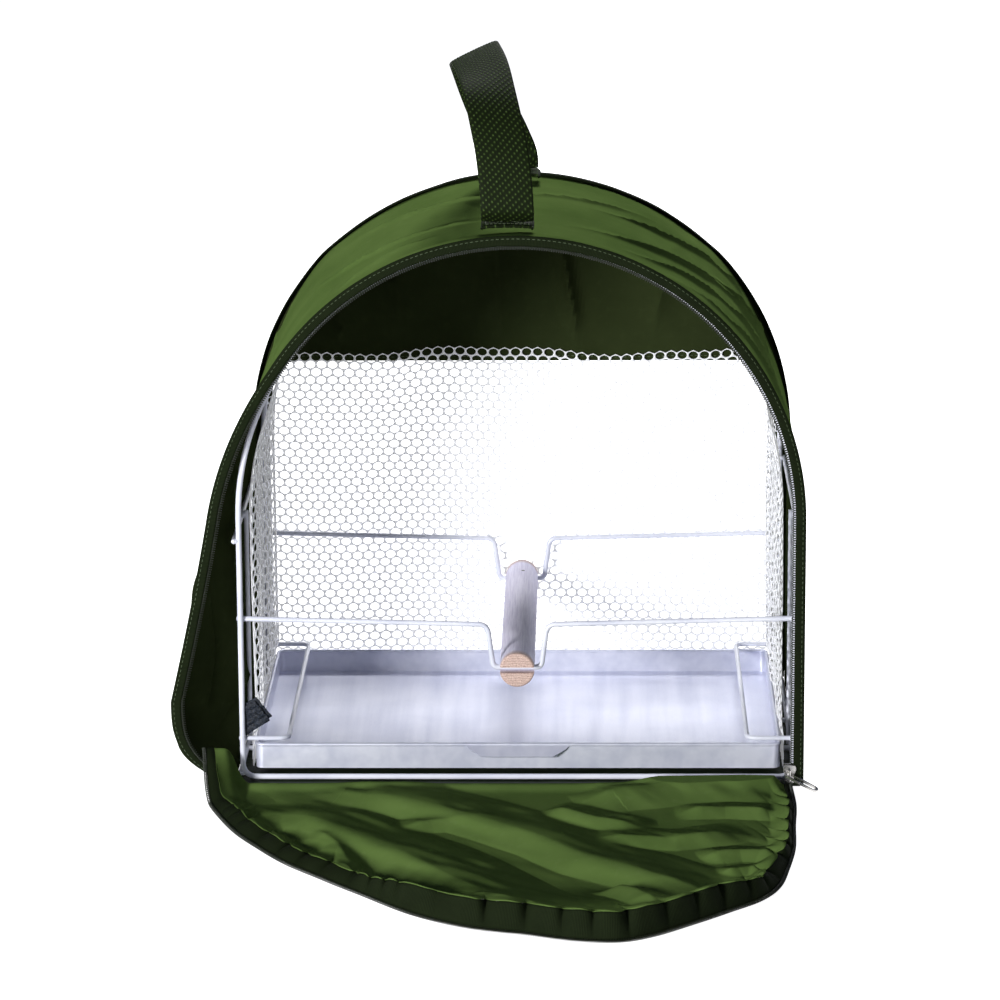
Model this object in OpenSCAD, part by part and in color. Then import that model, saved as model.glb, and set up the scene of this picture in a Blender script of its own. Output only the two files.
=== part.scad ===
// Soft-sided travel carrier for a small bird.
// A fabric dome stands round a welded wire frame. The front panel is unzipped and lies forward.
// Lengths are in millimetres. The origin is at the middle of the floor's underside,
// the doorway faces -Y and +X is to the right of someone who looks in.

/* [Wire frame] */
// Width between the centres of the two posts of a hoop
frame_w = 350; // [320:1:400]
// Depth between the planes of the front and rear hoops
frame_d = 226; // [200:1:260]
// Height at which the straight posts turn into the arch
spring_z = 174; // [150:1:200]
// Diameter of the hoop wire
hoop_wire = 3.6; // [3:0.1:4.5]
// Diameter of the side rails, side wires and tray loops
rail_wire = 3; // [2.4:0.1:3.6]
// Diameter of the cross wires under the tray
floor_wire = 3.4; // [3:0.1:4]
// Radius of the hoop's bottom corners, at the wire's centre
corner_r = 8; // [6:0.5:12]
// Depth by which crossing wires sink into each other at a weld
weld = 0.2; // [0.1:0.05:0.4]
// Height of the rails halfway up the sides
mid_rail_z = 159; // [120:1:170]
// Angle of the shoulder rails above the arch's centre
shoulder_angle = 43; // [35:1:55]
// Distance of the side wires behind the front hoop
side_wire_setback = 68; // [40:1:100]
// Cross wires that carry the tray
cross_wires = 3; // [2:1:4]
// Distance between neighbouring cross wires
cross_wire_pitch = 62; // [40:1:65]

/* [Perch] */
// Diameter of the dowel
perch_d = 22; // [18:0.5:25]
// Gap between the dowel's end and the back net
perch_gap = 0.5; // [0.3:0.1:3]
// Height of the dowel's centre
perch_z = 75.5; // [65:0.5:85]
// Diameter of the rods that hold the perch
rod_wire = 3.4; // [3:0.1:3.6]
// Depth of the dip in each rod
dip_depth = 28; // [22:1:32]
// Half of the dip's width at its top
dip_top = 19; // [18:0.5:24]
// Half of the dip's width at its bottom
dip_bottom = 15.2; // [15:0.1:17]
// Fall of each rod from its post to the dip
rod_fall = 4; // [0:0.5:8]
// Gap between a rod and the saw kerf that holds it
kerf_gap = 0.15; // [0.1:0.05:0.3]

/* [Tray] */
// Height of the tray's walls
tray_h = 16.6; // [12:0.2:20]
// Thickness of the sheet steel
sheet = 1; // [0.8:0.1:1.4]
// Gap between each side of the tray and the posts
tray_side_gap = 6.2; // [5.5:0.1:9]
// Distance from the front hoop's plane back to the tray's front wall
tray_front = 1; // [0:0.5:3]
// Distance from the tray's back wall to the rear hoop's plane
tray_back = 6; // [5:0.5:12]
// Radius of the tray's upright corners
tray_corner = 5; // [3:0.5:8]
// Diameter of the rolled rim
rim_d = 2.4; // [2:0.1:3]
// Width of the pull lip where it leaves the tray
lip_root = 70; // [50:1:90]
// Width of the pull lip at its tip
lip_tip = 45; // [30:1:48]
// Length of the pull lip
lip_l = 9.5; // [6:0.5:10]
// Slope of the pull lip below level
lip_slope = 48; // [30:1:60]
// Reach of the tray loops in from the posts
loop_reach = 29; // [20:1:40]
// Distance that the tray slides out
tray_travel = 200; // [150:1:200]

/* [Bag] */
// Thickness of the fabric walls
wall = 2; // [1.6:0.1:2.4]
// Gap between the side rails and the fabric
bag_gap = 0.7; // [0.5:0.1:2]
// Distance that the fabric walls stand past each hoop's plane
bag_over = 8; // [6:0.5:12]
// Thickness of the floor panel
floor_t = 2; // [1.5:0.1:3]
// Height of the slack fabric's widest bulge at the front left edge
flare_z = 56; // [45:1:70]
// Height at which the slack edge meets the arch
flare_top = 272; // [250:1:290]
// Amount by which the slack edge stands out
flare = 38; // [20:1:42]
// Depth of the wall that the slack edge takes up
flare_depth = 70; // [50:1:90]
// Width of the bound seam round the back
binding_w = 8; // [6:0.5:9]
// Thickness of the bound seam
binding_t = 3.2; // [2.5:0.1:4]
// Thickness of the back panel
back_t = 1.6; // [1.2:0.1:2]

/* [Windows] */
// Height of the back window's top edge
window_top = 225; // [200:1:240]
// Width of fabric left beside the back window
window_side = 9; // [8:0.5:16]
// Width of net sewn past the window's edge
net_lap = 7; // [5:0.5:7.5]
// Thickness of the net
net_t = 1; // [0.8:0.1:1.2]
// Width of a net hole, across its flats
net_hole = 19.5; // [18:0.5:22]
// Width of the strands between two holes
net_strand = 3; // [2:0.25:4]
// Height of the side nets above the cross wires
side_net_h = 186; // [160:1:190]

/* [Zip] */
// Width of the tape along each edge
tape_w = 6.5; // [5.5:0.25:6.75]
// Thickness of the tape
tape_t = 1.2; // [1:0.1:1.5]
// Diameter of the row of teeth
teeth_d = 2.2; // [2:0.1:2.6]
// Length of the slider
slider_l = 11; // [9:0.5:13]
// Width of the slider at its shoulders
slider_w = 8.4; // [7.6:0.1:8.6]
// Gap between the slider and the zip
slider_gap = 0.35; // [0.3:0.05:0.4]
// Length of the looped pull
pull_l = 24; // [18:0.5:26]
// Width of the looped pull
pull_w = 7; // [6:0.25:8.5]
// Thickness of the pull's wire
pull_wire = 1.4; // [1.2:0.1:1.7]

/* [Front panel] */
// Length of the panel from its hinge seam to its far edge
flap_l = 296; // [280:1:350]
// Thickness of the panel
flap_t = 1.6; // [1.2:0.1:2]
// Gap between the panel's folds and the tray that slides out over them
fold_gap = 0.7; // [0.4:0.1:3]
// Height of the puffed far edge, where the hem stands up
edge_h = 13; // [8:0.5:13.5]
// Width of the hem with the zip tape along the panel
hem_w = 14.5; // [14:0.5:18]
// Distance of the panel's far point to the right of the middle
flap_skew = 55; // [0:1:62]
// Fullness of the panel's outline on the left, from narrow to square
left_fullness = 1.25; // [1.1:0.05:2]
// Fullness of the panel's outline on the right, from narrow to square
right_fullness = 2.4; // [1.8:0.1:4]

/* [Handle] */
// Width of the webbing
web_w = 33; // [25:1:38]
// Thickness of the webbing
web_t = 2.2; // [1.8:0.1:3]
// Length of webbing stitched down at each end
patch_l = 24; // [18:1:30]

/* [Tie] */
// Width of the hook-and-loop tie
tie_w = 16; // [12:1:20]
// Length of the tie's free end
tie_l = 17; // [12:1:20]

/* [Hidden] */
$fn = 48;
post_x = frame_w / 2;
hoop_y = frame_d / 2;
hoop_r = hoop_wire / 2;
rail_r = rail_wire / 2;
base_z = floor_t + hoop_r + 0.2;
rail_x = post_x + hoop_r + rail_r - weld;
bag_r = rail_x + rail_r + bag_gap;
bag_out = bag_r + wall;
bag_y = hoop_y + bag_over;
rod_y = hoop_y - hoop_r - rod_wire / 2 + weld;
rod_z = perch_z + dip_depth + rod_fall;
cross_z = base_z + hoop_r + 3.2 - floor_wire / 2;
cross_top = cross_z + floor_wire / 2;
tray_z = cross_top + 0.3;
tray_w = frame_w - hoop_wire - 2 * tray_side_gap;
tray_top = tray_z + tray_h;
loop_z = tray_top + rail_r + 1.2;
corner_z = base_z + corner_r;
rail_corner = 30;
base_rail_x = post_x - corner_r + (corner_r + hoop_r + rail_r - weld) * cos(rail_corner);
base_rail_z = corner_z - (corner_r + hoop_r + rail_r - weld) * sin(rail_corner);
front_y = -bag_y;
tape_y = front_y - tape_t - 0.1;
flap_y = tape_y - 0.4;
net_y = bag_y - back_t - net_t - 0.4;
perch_overhang = net_y - perch_gap - rod_y;
fold_h = tray_z - flap_t - fold_gap;
bend_seat = 0.3;
bend_swell = 0.04;
arch_steps = 48;
wall_steps = 9;
depth_steps = [0, 0.14, 0.32, 0.5, 0.68, 0.86, 1];
// Route of the handle's middle line, from the front patch over the top to the rear patch
handle_route = [[-6, -96, 0], [-7, -102, 10], [-10, -100, 26], [-15, -92, 50], [-20, -76, 74],
    [-23, -54, 92], [-24, -28, 102], [-23, 0, 105], [-19, 28, 101], [-14, 54, 90],
    [-8, 76, 72], [-3, 92, 49], [0, 100, 26], [1, 102, 10], [1, 96, 0]];

// General forms

function unit(v) = v / norm(v);
function sum(v, i = 0) = i < len(v) ? v[i] + sum(v, i + 1) : 0;
function smooth(t) = let (c = min(1, max(0, t))) c * c * (3 - 2 * c);

// One straight round wire from a to b
module rod(a, b, d) {
    v = b - a;
    translate(a)
        rotate([0, acos(v.z / norm(v)), atan2(v.y, v.x)])
            cylinder(d = d, h = norm(v));
}

// One bend at corner p between the directions u and v
module bend(p, u, v, r, d) {
    turn = acos(u * v);
    n = unit(v - (u * v) * u);
    k = cross(u, n);
    c = p - r * tan(turn / 2) * u + r * n;
    multmatrix([[-n.x, u.x, k.x, c.x], [-n.y, u.y, k.y, c.y], [-n.z, u.z, k.z, c.z]])
        rotate_extrude(angle = turn)
            translate([r, 0])
                circle(d = d);
}

// A round wire through points, with a bend of its own radius at each inner point.
// The straights run on a little into the bends, which are a hair thicker.
module wire(pts, radii, d) {
    last = len(pts) - 1;
    dirs = [for (i = [0:last - 1]) unit(pts[i + 1] - pts[i])];
    cut = [for (i = [0:last]) i == 0 || i == last ? 0
        : radii[i - 1] * tan(acos(dirs[i - 1] * dirs[i]) / 2) - bend_seat];
    for (i = [0:last - 1])
        rod(pts[i] + cut[i] * dirs[i], pts[i + 1] - cut[i + 1] * dirs[i], d);
    for (i = [1:last - 1])
        bend(pts[i], dirs[i - 1], dirs[i], radii[i - 1], d + bend_swell);
}

// Outline of the bag's section, grown by g past the line at radius bag_r
module arch_section(g) {
    r = bag_r + g;
    translate([0, spring_z])
        intersection() {
            circle(r = r, $fn = 120);
            translate([-r, 0])
                square([2 * r, r]);
        }
    translate([-r, 0])
        square([2 * r, spring_z + 0.01]);
}

// Stands a drawing in X and Z up at y, so that it grows to y + t
module upright(y, t) {
    translate([0, y + t, 0])
        rotate([90, 0, 0])
            linear_extrude(height = t)
                children();
}

// A closed skin through rings of equal, even length, with its two ends closed across
module skin(rings) {
    n = len(rings[0]);
    m = len(rings);
    pts = [for (r = rings) for (p = r) p];
    sides = [for (i = [0:m - 2]) for (j = [0:n - 1]) let (k = (j + 1) % n)
        each [[i * n + j, i * n + k, (i + 1) * n + k], [i * n + j, (i + 1) * n + k, (i + 1) * n + j]]];
    first = [for (j = [0:n / 2 - 2])
        each [[j, n - 2 - j, j + 1], [j, n - 1 - j, n - 2 - j]]];
    end = [for (f = first) [for (j = [2, 1, 0]) (m - 1) * n + f[j]]];
    polyhedron(points = pts, faces = [for (f = concat(sides, first, end)) [f[2], f[1], f[0]]]);
}

// Wire frame

module hoop(y) {
    color("white") {
        for (s = [-1, 1]) {
            rod([s * post_x, y, corner_z - bend_seat], [s * post_x, y, spring_z + bend_seat],
                hoop_wire);
            bend([s * post_x, y, base_z], [s, 0, 0], [0, 0, 1], corner_r,
                hoop_wire + bend_swell);
        }
        rod([corner_r - post_x - bend_seat, y, base_z], [post_x - corner_r + bend_seat, y, base_z],
            hoop_wire);
        translate([0, y, spring_z])
            rotate([90, 0, 0])
                rotate_extrude(angle = 180)
                    translate([post_x, 0])
                        circle(d = hoop_wire + bend_swell);
    }
}

module front_hoop() { hoop(-hoop_y); }
module rear_hoop() { hoop(hoop_y); }

// A rail runs front to back outside the hoops, a little past both
module rail(x, z) {
    color("white")
        rod([x, -hoop_y - hoop_r, z], [x, hoop_y + hoop_r, z], rail_wire);
}

module shoulder_rail(s) {
    rail(s * rail_x * cos(shoulder_angle), spring_z + rail_x * sin(shoulder_angle));
}

module base_rail_left() { rail(-base_rail_x, base_rail_z); }
module base_rail_right() { rail(base_rail_x, base_rail_z); }
module mid_rail_left() { rail(-rail_x, mid_rail_z); }
module mid_rail_right() { rail(rail_x, mid_rail_z); }
module shoulder_rail_left() { shoulder_rail(-1); }
module shoulder_rail_right() { shoulder_rail(1); }

// A side wire stands inside the rails, from the base rail to just past the middle one
module side_wire(s) {
    x = s * (rail_x - rail_wire + weld);
    y = side_wire_setback - hoop_y;
    color("white")
        rod([x, y, base_rail_z - rail_r], [x, y, mid_rail_z + rail_wire], rail_wire);
}

module side_wire_left() { side_wire(-1); }
module side_wire_right() { side_wire(1); }

module cross_wires_floor() {
    x = base_rail_x - rail_r + weld;
    color("white")
        for (i = [0:cross_wires - 1])
            let (y = (i - (cross_wires - 1) / 2) * cross_wire_pitch)
                rod([-x, y, cross_z], [x, y, cross_z], floor_wire);
}

// A loop over each side of the tray keeps it from tipping
module tray_loop(s) {
    y = hoop_y - hoop_r - rail_r + weld;
    x0 = s * (post_x + hoop_r);
    x1 = s * (post_x - loop_reach);
    color("white")
        wire([[x0, -y, loop_z], [x1, -y, loop_z], [x1, y, loop_z], [x0, y, loop_z]],
            [6, 6], rail_wire);
}

module tray_loop_left() { tray_loop(-1); }
module tray_loop_right() { tray_loop(1); }

module perch_rod(y) {
    z1 = perch_z + dip_depth;
    x0 = post_x + hoop_r;
    color("white")
        wire([[-x0, y, rod_z], [-dip_top, y, z1], [-dip_bottom, y, perch_z],
            [dip_bottom, y, perch_z], [dip_top, y, z1], [x0, y, rod_z]],
            [6, 3.6, 3.6, 6], rod_wire);
}

module perch_rod_front() { perch_rod(-rod_y); }
module perch_rod_rear() { perch_rod(rod_y); }

// Dowel with a level saw kerf in each end, which the rods slide into
module perch() {
    kerf = rod_wire + 2 * kerf_gap;
    depth = perch_overhang + rod_wire / 2 + kerf_gap;
    half = rod_y + perch_overhang;
    bevel = 0.8;
    color("#c5bccb")
        difference() {
            translate([0, -half, perch_z])
                rotate([-90, 0, 0])
                    rotate_extrude()
                        polygon([[0, 0], [perch_d / 2 - bevel, 0], [perch_d / 2, bevel],
                            [perch_d / 2, 2 * half - bevel], [perch_d / 2 - bevel, 2 * half],
                            [0, 2 * half]]);
            for (s = [-1, 1])
                translate([-perch_d, s > 0 ? half - depth : -half - 1, perch_z - kerf / 2])
                    cube([2 * perch_d, depth + 1, kerf]);
        }
}

// Tray

module tray_plan(g) {
    w = tray_w + 2 * g;
    l = frame_d - tray_front - tray_back + 2 * g;
    r = tray_corner + g;
    translate([0, (tray_front - tray_back) / 2]) {
        square([w - 2 * r, l], center = true);
        square([w, l - 2 * r], center = true);
        for (x = [-1, 1], y = [-1, 1])
            translate([x * (w / 2 - r), y * (l / 2 - r)])
                circle(r = r);
    }
}

// Rolled edge along the top of all four walls
module tray_rim() {
    x = tray_w / 2 - sheet / 2;
    y0 = -hoop_y + tray_front + sheet / 2;
    y1 = hoop_y - tray_back - sheet / 2;
    r = tray_corner - sheet / 2;
    z = tray_top - rim_d / 2;
    run = r - bend_seat;
    for (s = [-1, 1])
        rod([s * x, y0 + run, z], [s * x, y1 - run, z], rim_d);
    for (y = [y0, y1])
        rod([-x + run, y, z], [x - run, y, z], rim_d);
    for (s = [-1, 1]) {
        bend([s * x, y0, z], [s, 0, 0], [0, 1, 0], r, rim_d + bend_swell);
        bend([s * x, y1, z], [s, 0, 0], [0, -1, 0], r, rim_d + bend_swell);
    }
}

module pull_lip() {
    z = tray_top - rim_d / 2;
    side = (lip_root - lip_tip) / 2;
    translate([0, -hoop_y + tray_front + 0.4, z + rim_d / 2 - 0.2])
        rotate([lip_slope, 0, 0])
            translate([0, 0, -sheet])
                linear_extrude(height = sheet)
                    polygon([[-lip_root / 2, 0.6], [lip_root / 2, 0.6],
                        [lip_root / 2 - 0.35 * side, -0.45 * lip_l],
                        [lip_tip / 2, -lip_l], [-lip_tip / 2, -lip_l],
                        [0.35 * side - lip_root / 2, -0.45 * lip_l]]);
}

module tray() {
    color("lightsteelblue") {
        difference() {
            translate([0, 0, tray_z])
                linear_extrude(height = tray_h - rim_d / 2)
                    tray_plan(0);
            translate([0, 0, tray_z + sheet])
                linear_extrude(height = tray_h)
                    tray_plan(-sheet);
        }
        tray_rim();
        pull_lip();
    }
}

// Bag

// How far the unzipped left edge stands out at height z
function slack(z) = z > flare_z
    ? flare * pow(max(0, (flare_top - z) / (flare_top - flare_z)), 1.35)
    : flare * (1 - pow(1 - max(0, z) / flare_z, 3.2));

// Point of the wall at step i round the arch and share t of the depth, g outside its inner face
function wall_pt(i, t, g) =
    let (n = arch_steps, k = wall_steps,
        up = i <= k ? i / k : i >= k + n ? (2 * k + n - i) / k : 1,
        a = 180 - 180 * min(n, max(0, i - k)) / n,
        r = (bag_r + g) / cos(90 / n),
        x0 = r * cos(a),
        z = i > k && i < k + n ? spring_z + r * sin(a) : spring_z * up,
        ease = pow(max(0, 1 - t * 2 * bag_y / flare_depth), 1.5),
        out = x0 < 0 ? slack(z) * ease : 0,
        puff = 0.8 * pow(sin(180 * t), 2) * max(0, sin(a)))
    [x0 + out * cos(a), -bag_y + 2 * bag_y * t, z + (out + puff) * sin(a)];

// The long strip that makes both side walls and the dome
module gusset() {
    last = arch_steps + 2 * wall_steps;
    m = len(depth_steps) - 1;
    color("#3a4d22")
        skin([for (i = [0:last]) concat(
            [for (j = [0:m]) wall_pt(i, depth_steps[j], 0)],
            [for (j = [m:-1:0]) wall_pt(i, depth_steps[j], wall)])]);
}

module bag_floor() {
    side = 0.1;
    color("#1e2814")
        translate([-bag_r + side, -bag_y, 0])
            cube([2 * (bag_r - side), 2 * bag_y, floor_t]);
}

// Window outline, drawn g outside the cut in the fabric
module window_outline(g) {
    r = bag_r - window_side + g;
    intersection() {
        arch_section(g - window_side);
        translate([-r, floor_t + 0.2])
            square([2 * r, window_top + g - floor_t - 0.2]);
    }
}

module back_panel() {
    color("#2c3a1b")
        upright(bag_y - back_t, back_t)
            difference() {
                intersection() {
                    arch_section(-0.2);
                    translate([-bag_r, floor_t + 0.2])
                        square([2 * bag_r, 2 * bag_r + spring_z]);
                }
                window_outline(0);
            }
}

// A sheet with staggered six-sided holes that stay inside the half widths hw(z)
module net_sheet(z0, z1, half, rnd, spring, y, t) {
    pitch = net_hole + net_strand;
    rise = pitch * sin(60);
    hole_r = net_hole / 2 / cos(30);
    rows = floor((z1 - z0 - 2 * hole_r) / rise);
    function hw(z) = z < spring ? half : sqrt(max(0, rnd * rnd - pow(z - spring, 2)));
    centres = [for (j = [0:rows]) let (z = z0 + hole_r + net_strand + j * rise,
            w = min(hw(z + hole_r), hw(z - hole_r)) - net_hole / 2 - net_strand,
            shift = j % 2 == 0 ? 0 : pitch / 2,
            n = floor((w - shift) / pitch))
        if (z + hole_r + net_strand < z1)
            for (i = [-n - (shift > 0 ? 1 : 0):n]) [i * pitch + shift, z]];
    edge = [for (k = [0:24]) let (z = z1 - (z1 - min(z1, spring)) * k / 24) [hw(z), z]];
    outline = concat([[-hw(z0), z0], [hw(z0), z0]],
        z1 > spring ? [for (k = [24:-1:0]) edge[k]] : [[hw(z1), z1]],
        z1 > spring ? [for (k = [0:24]) [-edge[k].x, edge[k].y]] : [[-hw(z1), z1]]);
    holes = [for (c = centres) for (a = [30:60:330]) c + hole_r * [cos(a), sin(a)]];
    first = len(outline);
    upright(y, t)
        polygon(points = concat(outline, holes),
            paths = concat([[for (i = [0:first - 1]) i]],
                [for (c = [0:len(centres) - 1]) [for (k = [0:5]) first + 6 * c + k]]));
}

module back_net() {
    r = bag_r - window_side + net_lap;
    color("gainsboro")
        net_sheet(floor_t + 0.2, window_top + net_lap, r, r, spring_z, net_y, net_t);
}

// Net that lines the frame's side, hung inside the posts and down to the cross wires
module side_net(s) {
    x = s * (tray_w / 2 + rim_d + 1.2);
    color("gainsboro")
        translate([x, 0, 0])
            rotate([0, 0, 90])
                net_sheet(cross_top, cross_top + side_net_h, rod_y - 5, rod_y - 5, 999,
                    -net_t / 2, net_t);
}

module side_net_left() { side_net(-1); }
module side_net_right() { side_net(1); }

// Fabric binding round the seam between the back and the gusset
module rear_binding() {
    grow = wall + 1.4;
    color("#1a2410")
        upright(bag_y + 0.1, binding_t)
            difference() {
                arch_section(grow);
                intersection() {
                    arch_section(grow - binding_w);
                    translate([-bag_out, binding_w - 3])
                        square([2 * bag_out, 2 * bag_out + spring_z]);
                }
            }
}

// Zip

// Steps of the wall at which the zip starts at the lower left and ends at the lower right
zip_first = 0;
zip_last = arch_steps + 2 * wall_steps - 1;

// A band along the front edge, from radius offset g0 to g1 and from y to y + t
module edge_band(g0, g1, y, t) {
    skin([for (i = [zip_first:zip_last]) let (a = wall_pt(i, 0, g0), b = wall_pt(i, 0, g1))
        [[a.x, y, max(0.4, a.z)], [b.x, y, max(0.4, b.z)],
            [b.x, y + t, max(0.4, b.z)], [a.x, y + t, max(0.4, a.z)]]]);
}

module zip_tape_body() {
    color("#1a2410")
        edge_band(wall - tape_w, wall, tape_y, tape_t);
}

// Row of teeth along the tape's inner edge
module zip_teeth_body() {
    g = wall - tape_w - teeth_d / 2;
    sides = 6;
    color("#151c10")
        skin([for (i = [zip_first:zip_last]) let (c = wall_pt(i, 0, g), d = wall_pt(i, 0, g + 1),
                o = [d.x - c.x, 0, d.z - c.z])
            [for (k = [0:sides - 1]) let (a = 360 * (k + 0.5) / sides)
                [c.x, tape_y + tape_t / 2, max(1.6, c.z)]
                    + teeth_d / 2 * (cos(a) * o - sin(a) * [0, 1, 0])]]);
}

// The slider runs on the row of teeth at the lower right, clear of the tray's way out
slider_z = 9;
plate_t = 1.1;
slot_t = teeth_d + 2 * slider_gap;
wedge_w = 1.6;
slider_x = bag_out - tape_w - teeth_d - slider_gap - wedge_w / 2;
slider_y = tape_y + tape_t / 2;
// The bridge stands off the front plate, so that the looped pull turns round its bar
bar_d = 1.2;
arm_t = 1.2;
bar_half = pull_wire + 1.9;
bar_y = slider_y - slot_t / 2 - plate_t - pull_w / 2 - 0.3;
pull_turn = 25;
pull_droop = 21;

module slider_plate() {
    n = slider_w / 2;
    linear_extrude(height = plate_t)
        polygon([[-0.62 * n, -slider_l / 2], [0.62 * n, -slider_l / 2], [0.74 * n, 0],
            [n, 0.62 * slider_l / 2], [0.86 * n, slider_l / 2], [-0.86 * n, slider_l / 2],
            [-n, 0.62 * slider_l / 2], [-0.74 * n, 0]]);
}

module zip_slider() {
    arm_l = slider_y - slot_t / 2 - plate_t - bar_y;
    color("silver")
        translate([slider_x, slider_y, slider_z]) {
            rotate([90, 0, 0]) {
                translate([0, 0, slot_t / 2])
                    slider_plate();
                translate([0, 0, -slot_t / 2 - plate_t])
                    slider_plate();
                // wedge that parts the two rows of teeth
                translate([-wedge_w / 2, -slider_l / 2 + 1, -slot_t / 2 - 0.2])
                    cube([wedge_w, slider_l - 2, slot_t + 0.4]);
            }
            // arms and bar of the bridge
            for (s = [-1, 1])
                translate([-bar_d / 2, bar_y - slider_y, s * (bar_half - arm_t / 2) - arm_t / 2])
                    cube([bar_d, arm_l + 0.3, arm_t]);
            translate([0, bar_y - slider_y, -bar_half])
                cylinder(d = bar_d, h = 2 * bar_half);
        }
}

// Flat outline of a loop whose near end is centred on the bar
module pull_outline(w) {
    long = pull_l - pull_w;
    for (x = [0, long])
        translate([x, 0])
            circle(d = w);
    translate([0, -w / 2])
        square([long, w]);
}

// The pull lies to the right and forward, with its end down on the table
module zip_pull() {
    color("silver")
        translate([slider_x, bar_y, slider_z])
            rotate([0, 0, -pull_turn])
                rotate([0, pull_droop, 0])
                    translate([0, 0, -pull_wire / 2])
                        linear_extrude(height = pull_wire)
                            difference() {
                                pull_outline(pull_w);
                                pull_outline(pull_w - 2 * pull_wire);
                            }
}

// Front panel, unzipped and laid forward

flap_rows = 20;
flap_cols = 16;
hinge_left = bag_out + 16;
hinge_right = bag_out - 9;

// Distance forward of the hinge at which the panel may rise higher than the tray's path
rise_from = tray_travel + hoop_y - tray_front + flap_y + 8;
rise_run = 75;
right_run = 3;

// Share of the full height on one fold from (x0, s0) to (x1, s1), w wide
function ridge(x, s, x0, s0, x1, s1, w) =
    let (u = unit([x1 - x0, s1 - s0]), p = [x - x0, s - s0], along = p * u,
        len_ = norm([x1 - x0, s1 - s0]), off = p.x * u.y - p.y * u.x)
    smooth(along / 40) * smooth((len_ - along) / 60) * exp(-off * off / (w * w));
function folds(x, s) = ridge(x, s, -165, 25, 5, 255, 16)
    + 0.9 * ridge(x, s, -100, -5, 125, 210, 18)
    + 0.4 * ridge(x, s, 10, 15, 110, 140, 12)
    + 0.4 * ridge(x, s, -60, 15, -20, 165, 12)
    + smooth((x - 80) / 60) * (1 - smooth((s - 40) / 110));

// Height of the panel's underside, s forward of its hinge
function flap_z(x, s) = let (f = folds(x, s), u = smooth((s - rise_from) / rise_run))
    fold_h * f / pow(1 + pow(f, 4), 0.25) * smooth((s - 2) / 30) * (1 - 0.5 * u) + edge_h * u;

// Boundary of the panel at share q of its length, drawn in by inset
function row_s(q, inset) = (flap_l - inset) * sin(87 * q) / sin(87);
function reach(q, p) = sqrt(max(0, 1 - pow(0.996 * sin(87 * q) / sin(87), p)));
function left_x(q, inset) = flap_skew - (hinge_left + flap_skew - inset) * reach(q, left_fullness);
function right_x(q, inset) = flap_skew
    + (hinge_right - flap_skew - inset) * reach(q, right_fullness);

// Width on the table of the hem, which stands the steeper the higher the panel's edge is
function hem_run(x, s) = sqrt(max(right_run * right_run, hem_w * hem_w - pow(flap_z(x, s), 2)));
end_run = hem_run(flap_skew, flap_l);
function left_run(q) = hem_run(left_x(q, 0), row_s(q, 0));

function flap_pt(x, s, lift) = [x, flap_y - s, lift + flap_z(x, s)];

module flap_panel() {
    color("#475c2b")
        skin([for (j = [0:flap_rows]) let (q = j / flap_rows, s = row_s(q, end_run),
                a = left_x(q, left_run(q)), b = right_x(q, right_run))
            concat([for (i = [0:flap_cols]) flap_pt(a + (b - a) * i / flap_cols, s, 0)],
                [for (i = [flap_cols:-1:0]) flap_pt(a + (b - a) * i / flap_cols, s, flap_t)])]);
}

// Stations along the hem: up the left side, across the end and back down the right side.
// Each is the hem's inner top point and its outer point on the table.
flap_edge_last = 2 * flap_rows + 1;
function hem_at(k) = let (n = flap_rows, left = k <= n, q = (left ? k : 2 * n + 1 - k) / n,
        s = row_s(q, end_run - 0.1),
        x = left ? left_x(q, left_run(q) - 0.1) : right_x(q, right_run - 0.1),
        out = [left ? left_x(q, 0) : right_x(q, 0), row_s(q, 0)])
    [[x, flap_y - s, flap_z(x, s) + 0.2], [out.x, flap_y - out.y, 0.2]];

// The hem of fabric and zip tape falls from the panel's edge to the table
module zip_tape_flap() {
    color("#1a2410")
        skin([for (k = [0:flap_edge_last]) let (p = hem_at(k), d = p[1] - p[0],
                o = unit([d.x, d.y, 0]), run = norm([d.x, d.y]),
                n = tape_t * unit(-d.z * o + [0, 0, run]))
            [p[0], p[0] + n, p[1] + n, p[1]]]);
}

module zip_teeth_flap() {
    sides = 6;
    color("#151c10")
        skin([for (k = [0:flap_edge_last]) let (p = hem_at(k), d = p[1] - p[0],
                o = unit([d.x, d.y, 0]), c = [p[1].x, p[1].y, teeth_d / 2 + 0.2])
            [for (i = [0:sides - 1]) let (t = 360 * (i + 0.5) / sides)
                c + teeth_d / 2 * ((2.2 + cos(t)) * o + sin(t) * [0, 0, 1])]]);
}

// Handle

dome_z = spring_z + bag_out + 0.5;

function mid_spline(p, i, t) =
    let (a = p[max(0, i - 1)], b = p[i], c = p[min(len(p) - 1, i + 1)], d = p[min(len(p) - 1, i + 2)])
    0.5 * (2 * b + (c - a) * t + (2 * a - 5 * b + 4 * c - d) * t * t
        + (3 * b - a - 3 * c + d) * t * t * t);

module handle_strap() {
    steps = 2;
    last = len(handle_route) - 1;
    path = concat([for (i = [0:last - 1]) for (k = [0:steps - 1])
        mid_spline(handle_route, i, k / steps)], [handle_route[last]]);
    n = len(path) - 1;
    color("#1f2c17")
        translate([0, 0, dome_z + web_t + 1.2])
            skin([for (i = [0:n]) let (t = unit(path[min(n, i + 1)] - path[max(0, i - 1)]),
                    side = unit([1, 0.12 * sin(180 * i / n), 0]),
                    up = unit(cross(side, t)))
                [for (c = [[-1, -1], [1, -1], [1, 1], [-1, 1]])
                    path[i] + c.x * web_w / 2 * side + c.y * web_t / 2 * up]]);
}

// Stitched end of the webbing, curved to the dome
module handle_patch(s) {
    half = web_w / 2 / bag_out * 57.3;
    color("#1f2c17")
        translate([0, s * (bag_y - 14) - (s > 0 ? patch_l : 0), spring_z])
            rotate([-90, 0, 0])
                rotate_extrude(angle = 2 * half, start = -90 - half)
                    translate([bag_out + 0.9, 0])
                        square([web_t, patch_l]);
}

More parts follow.
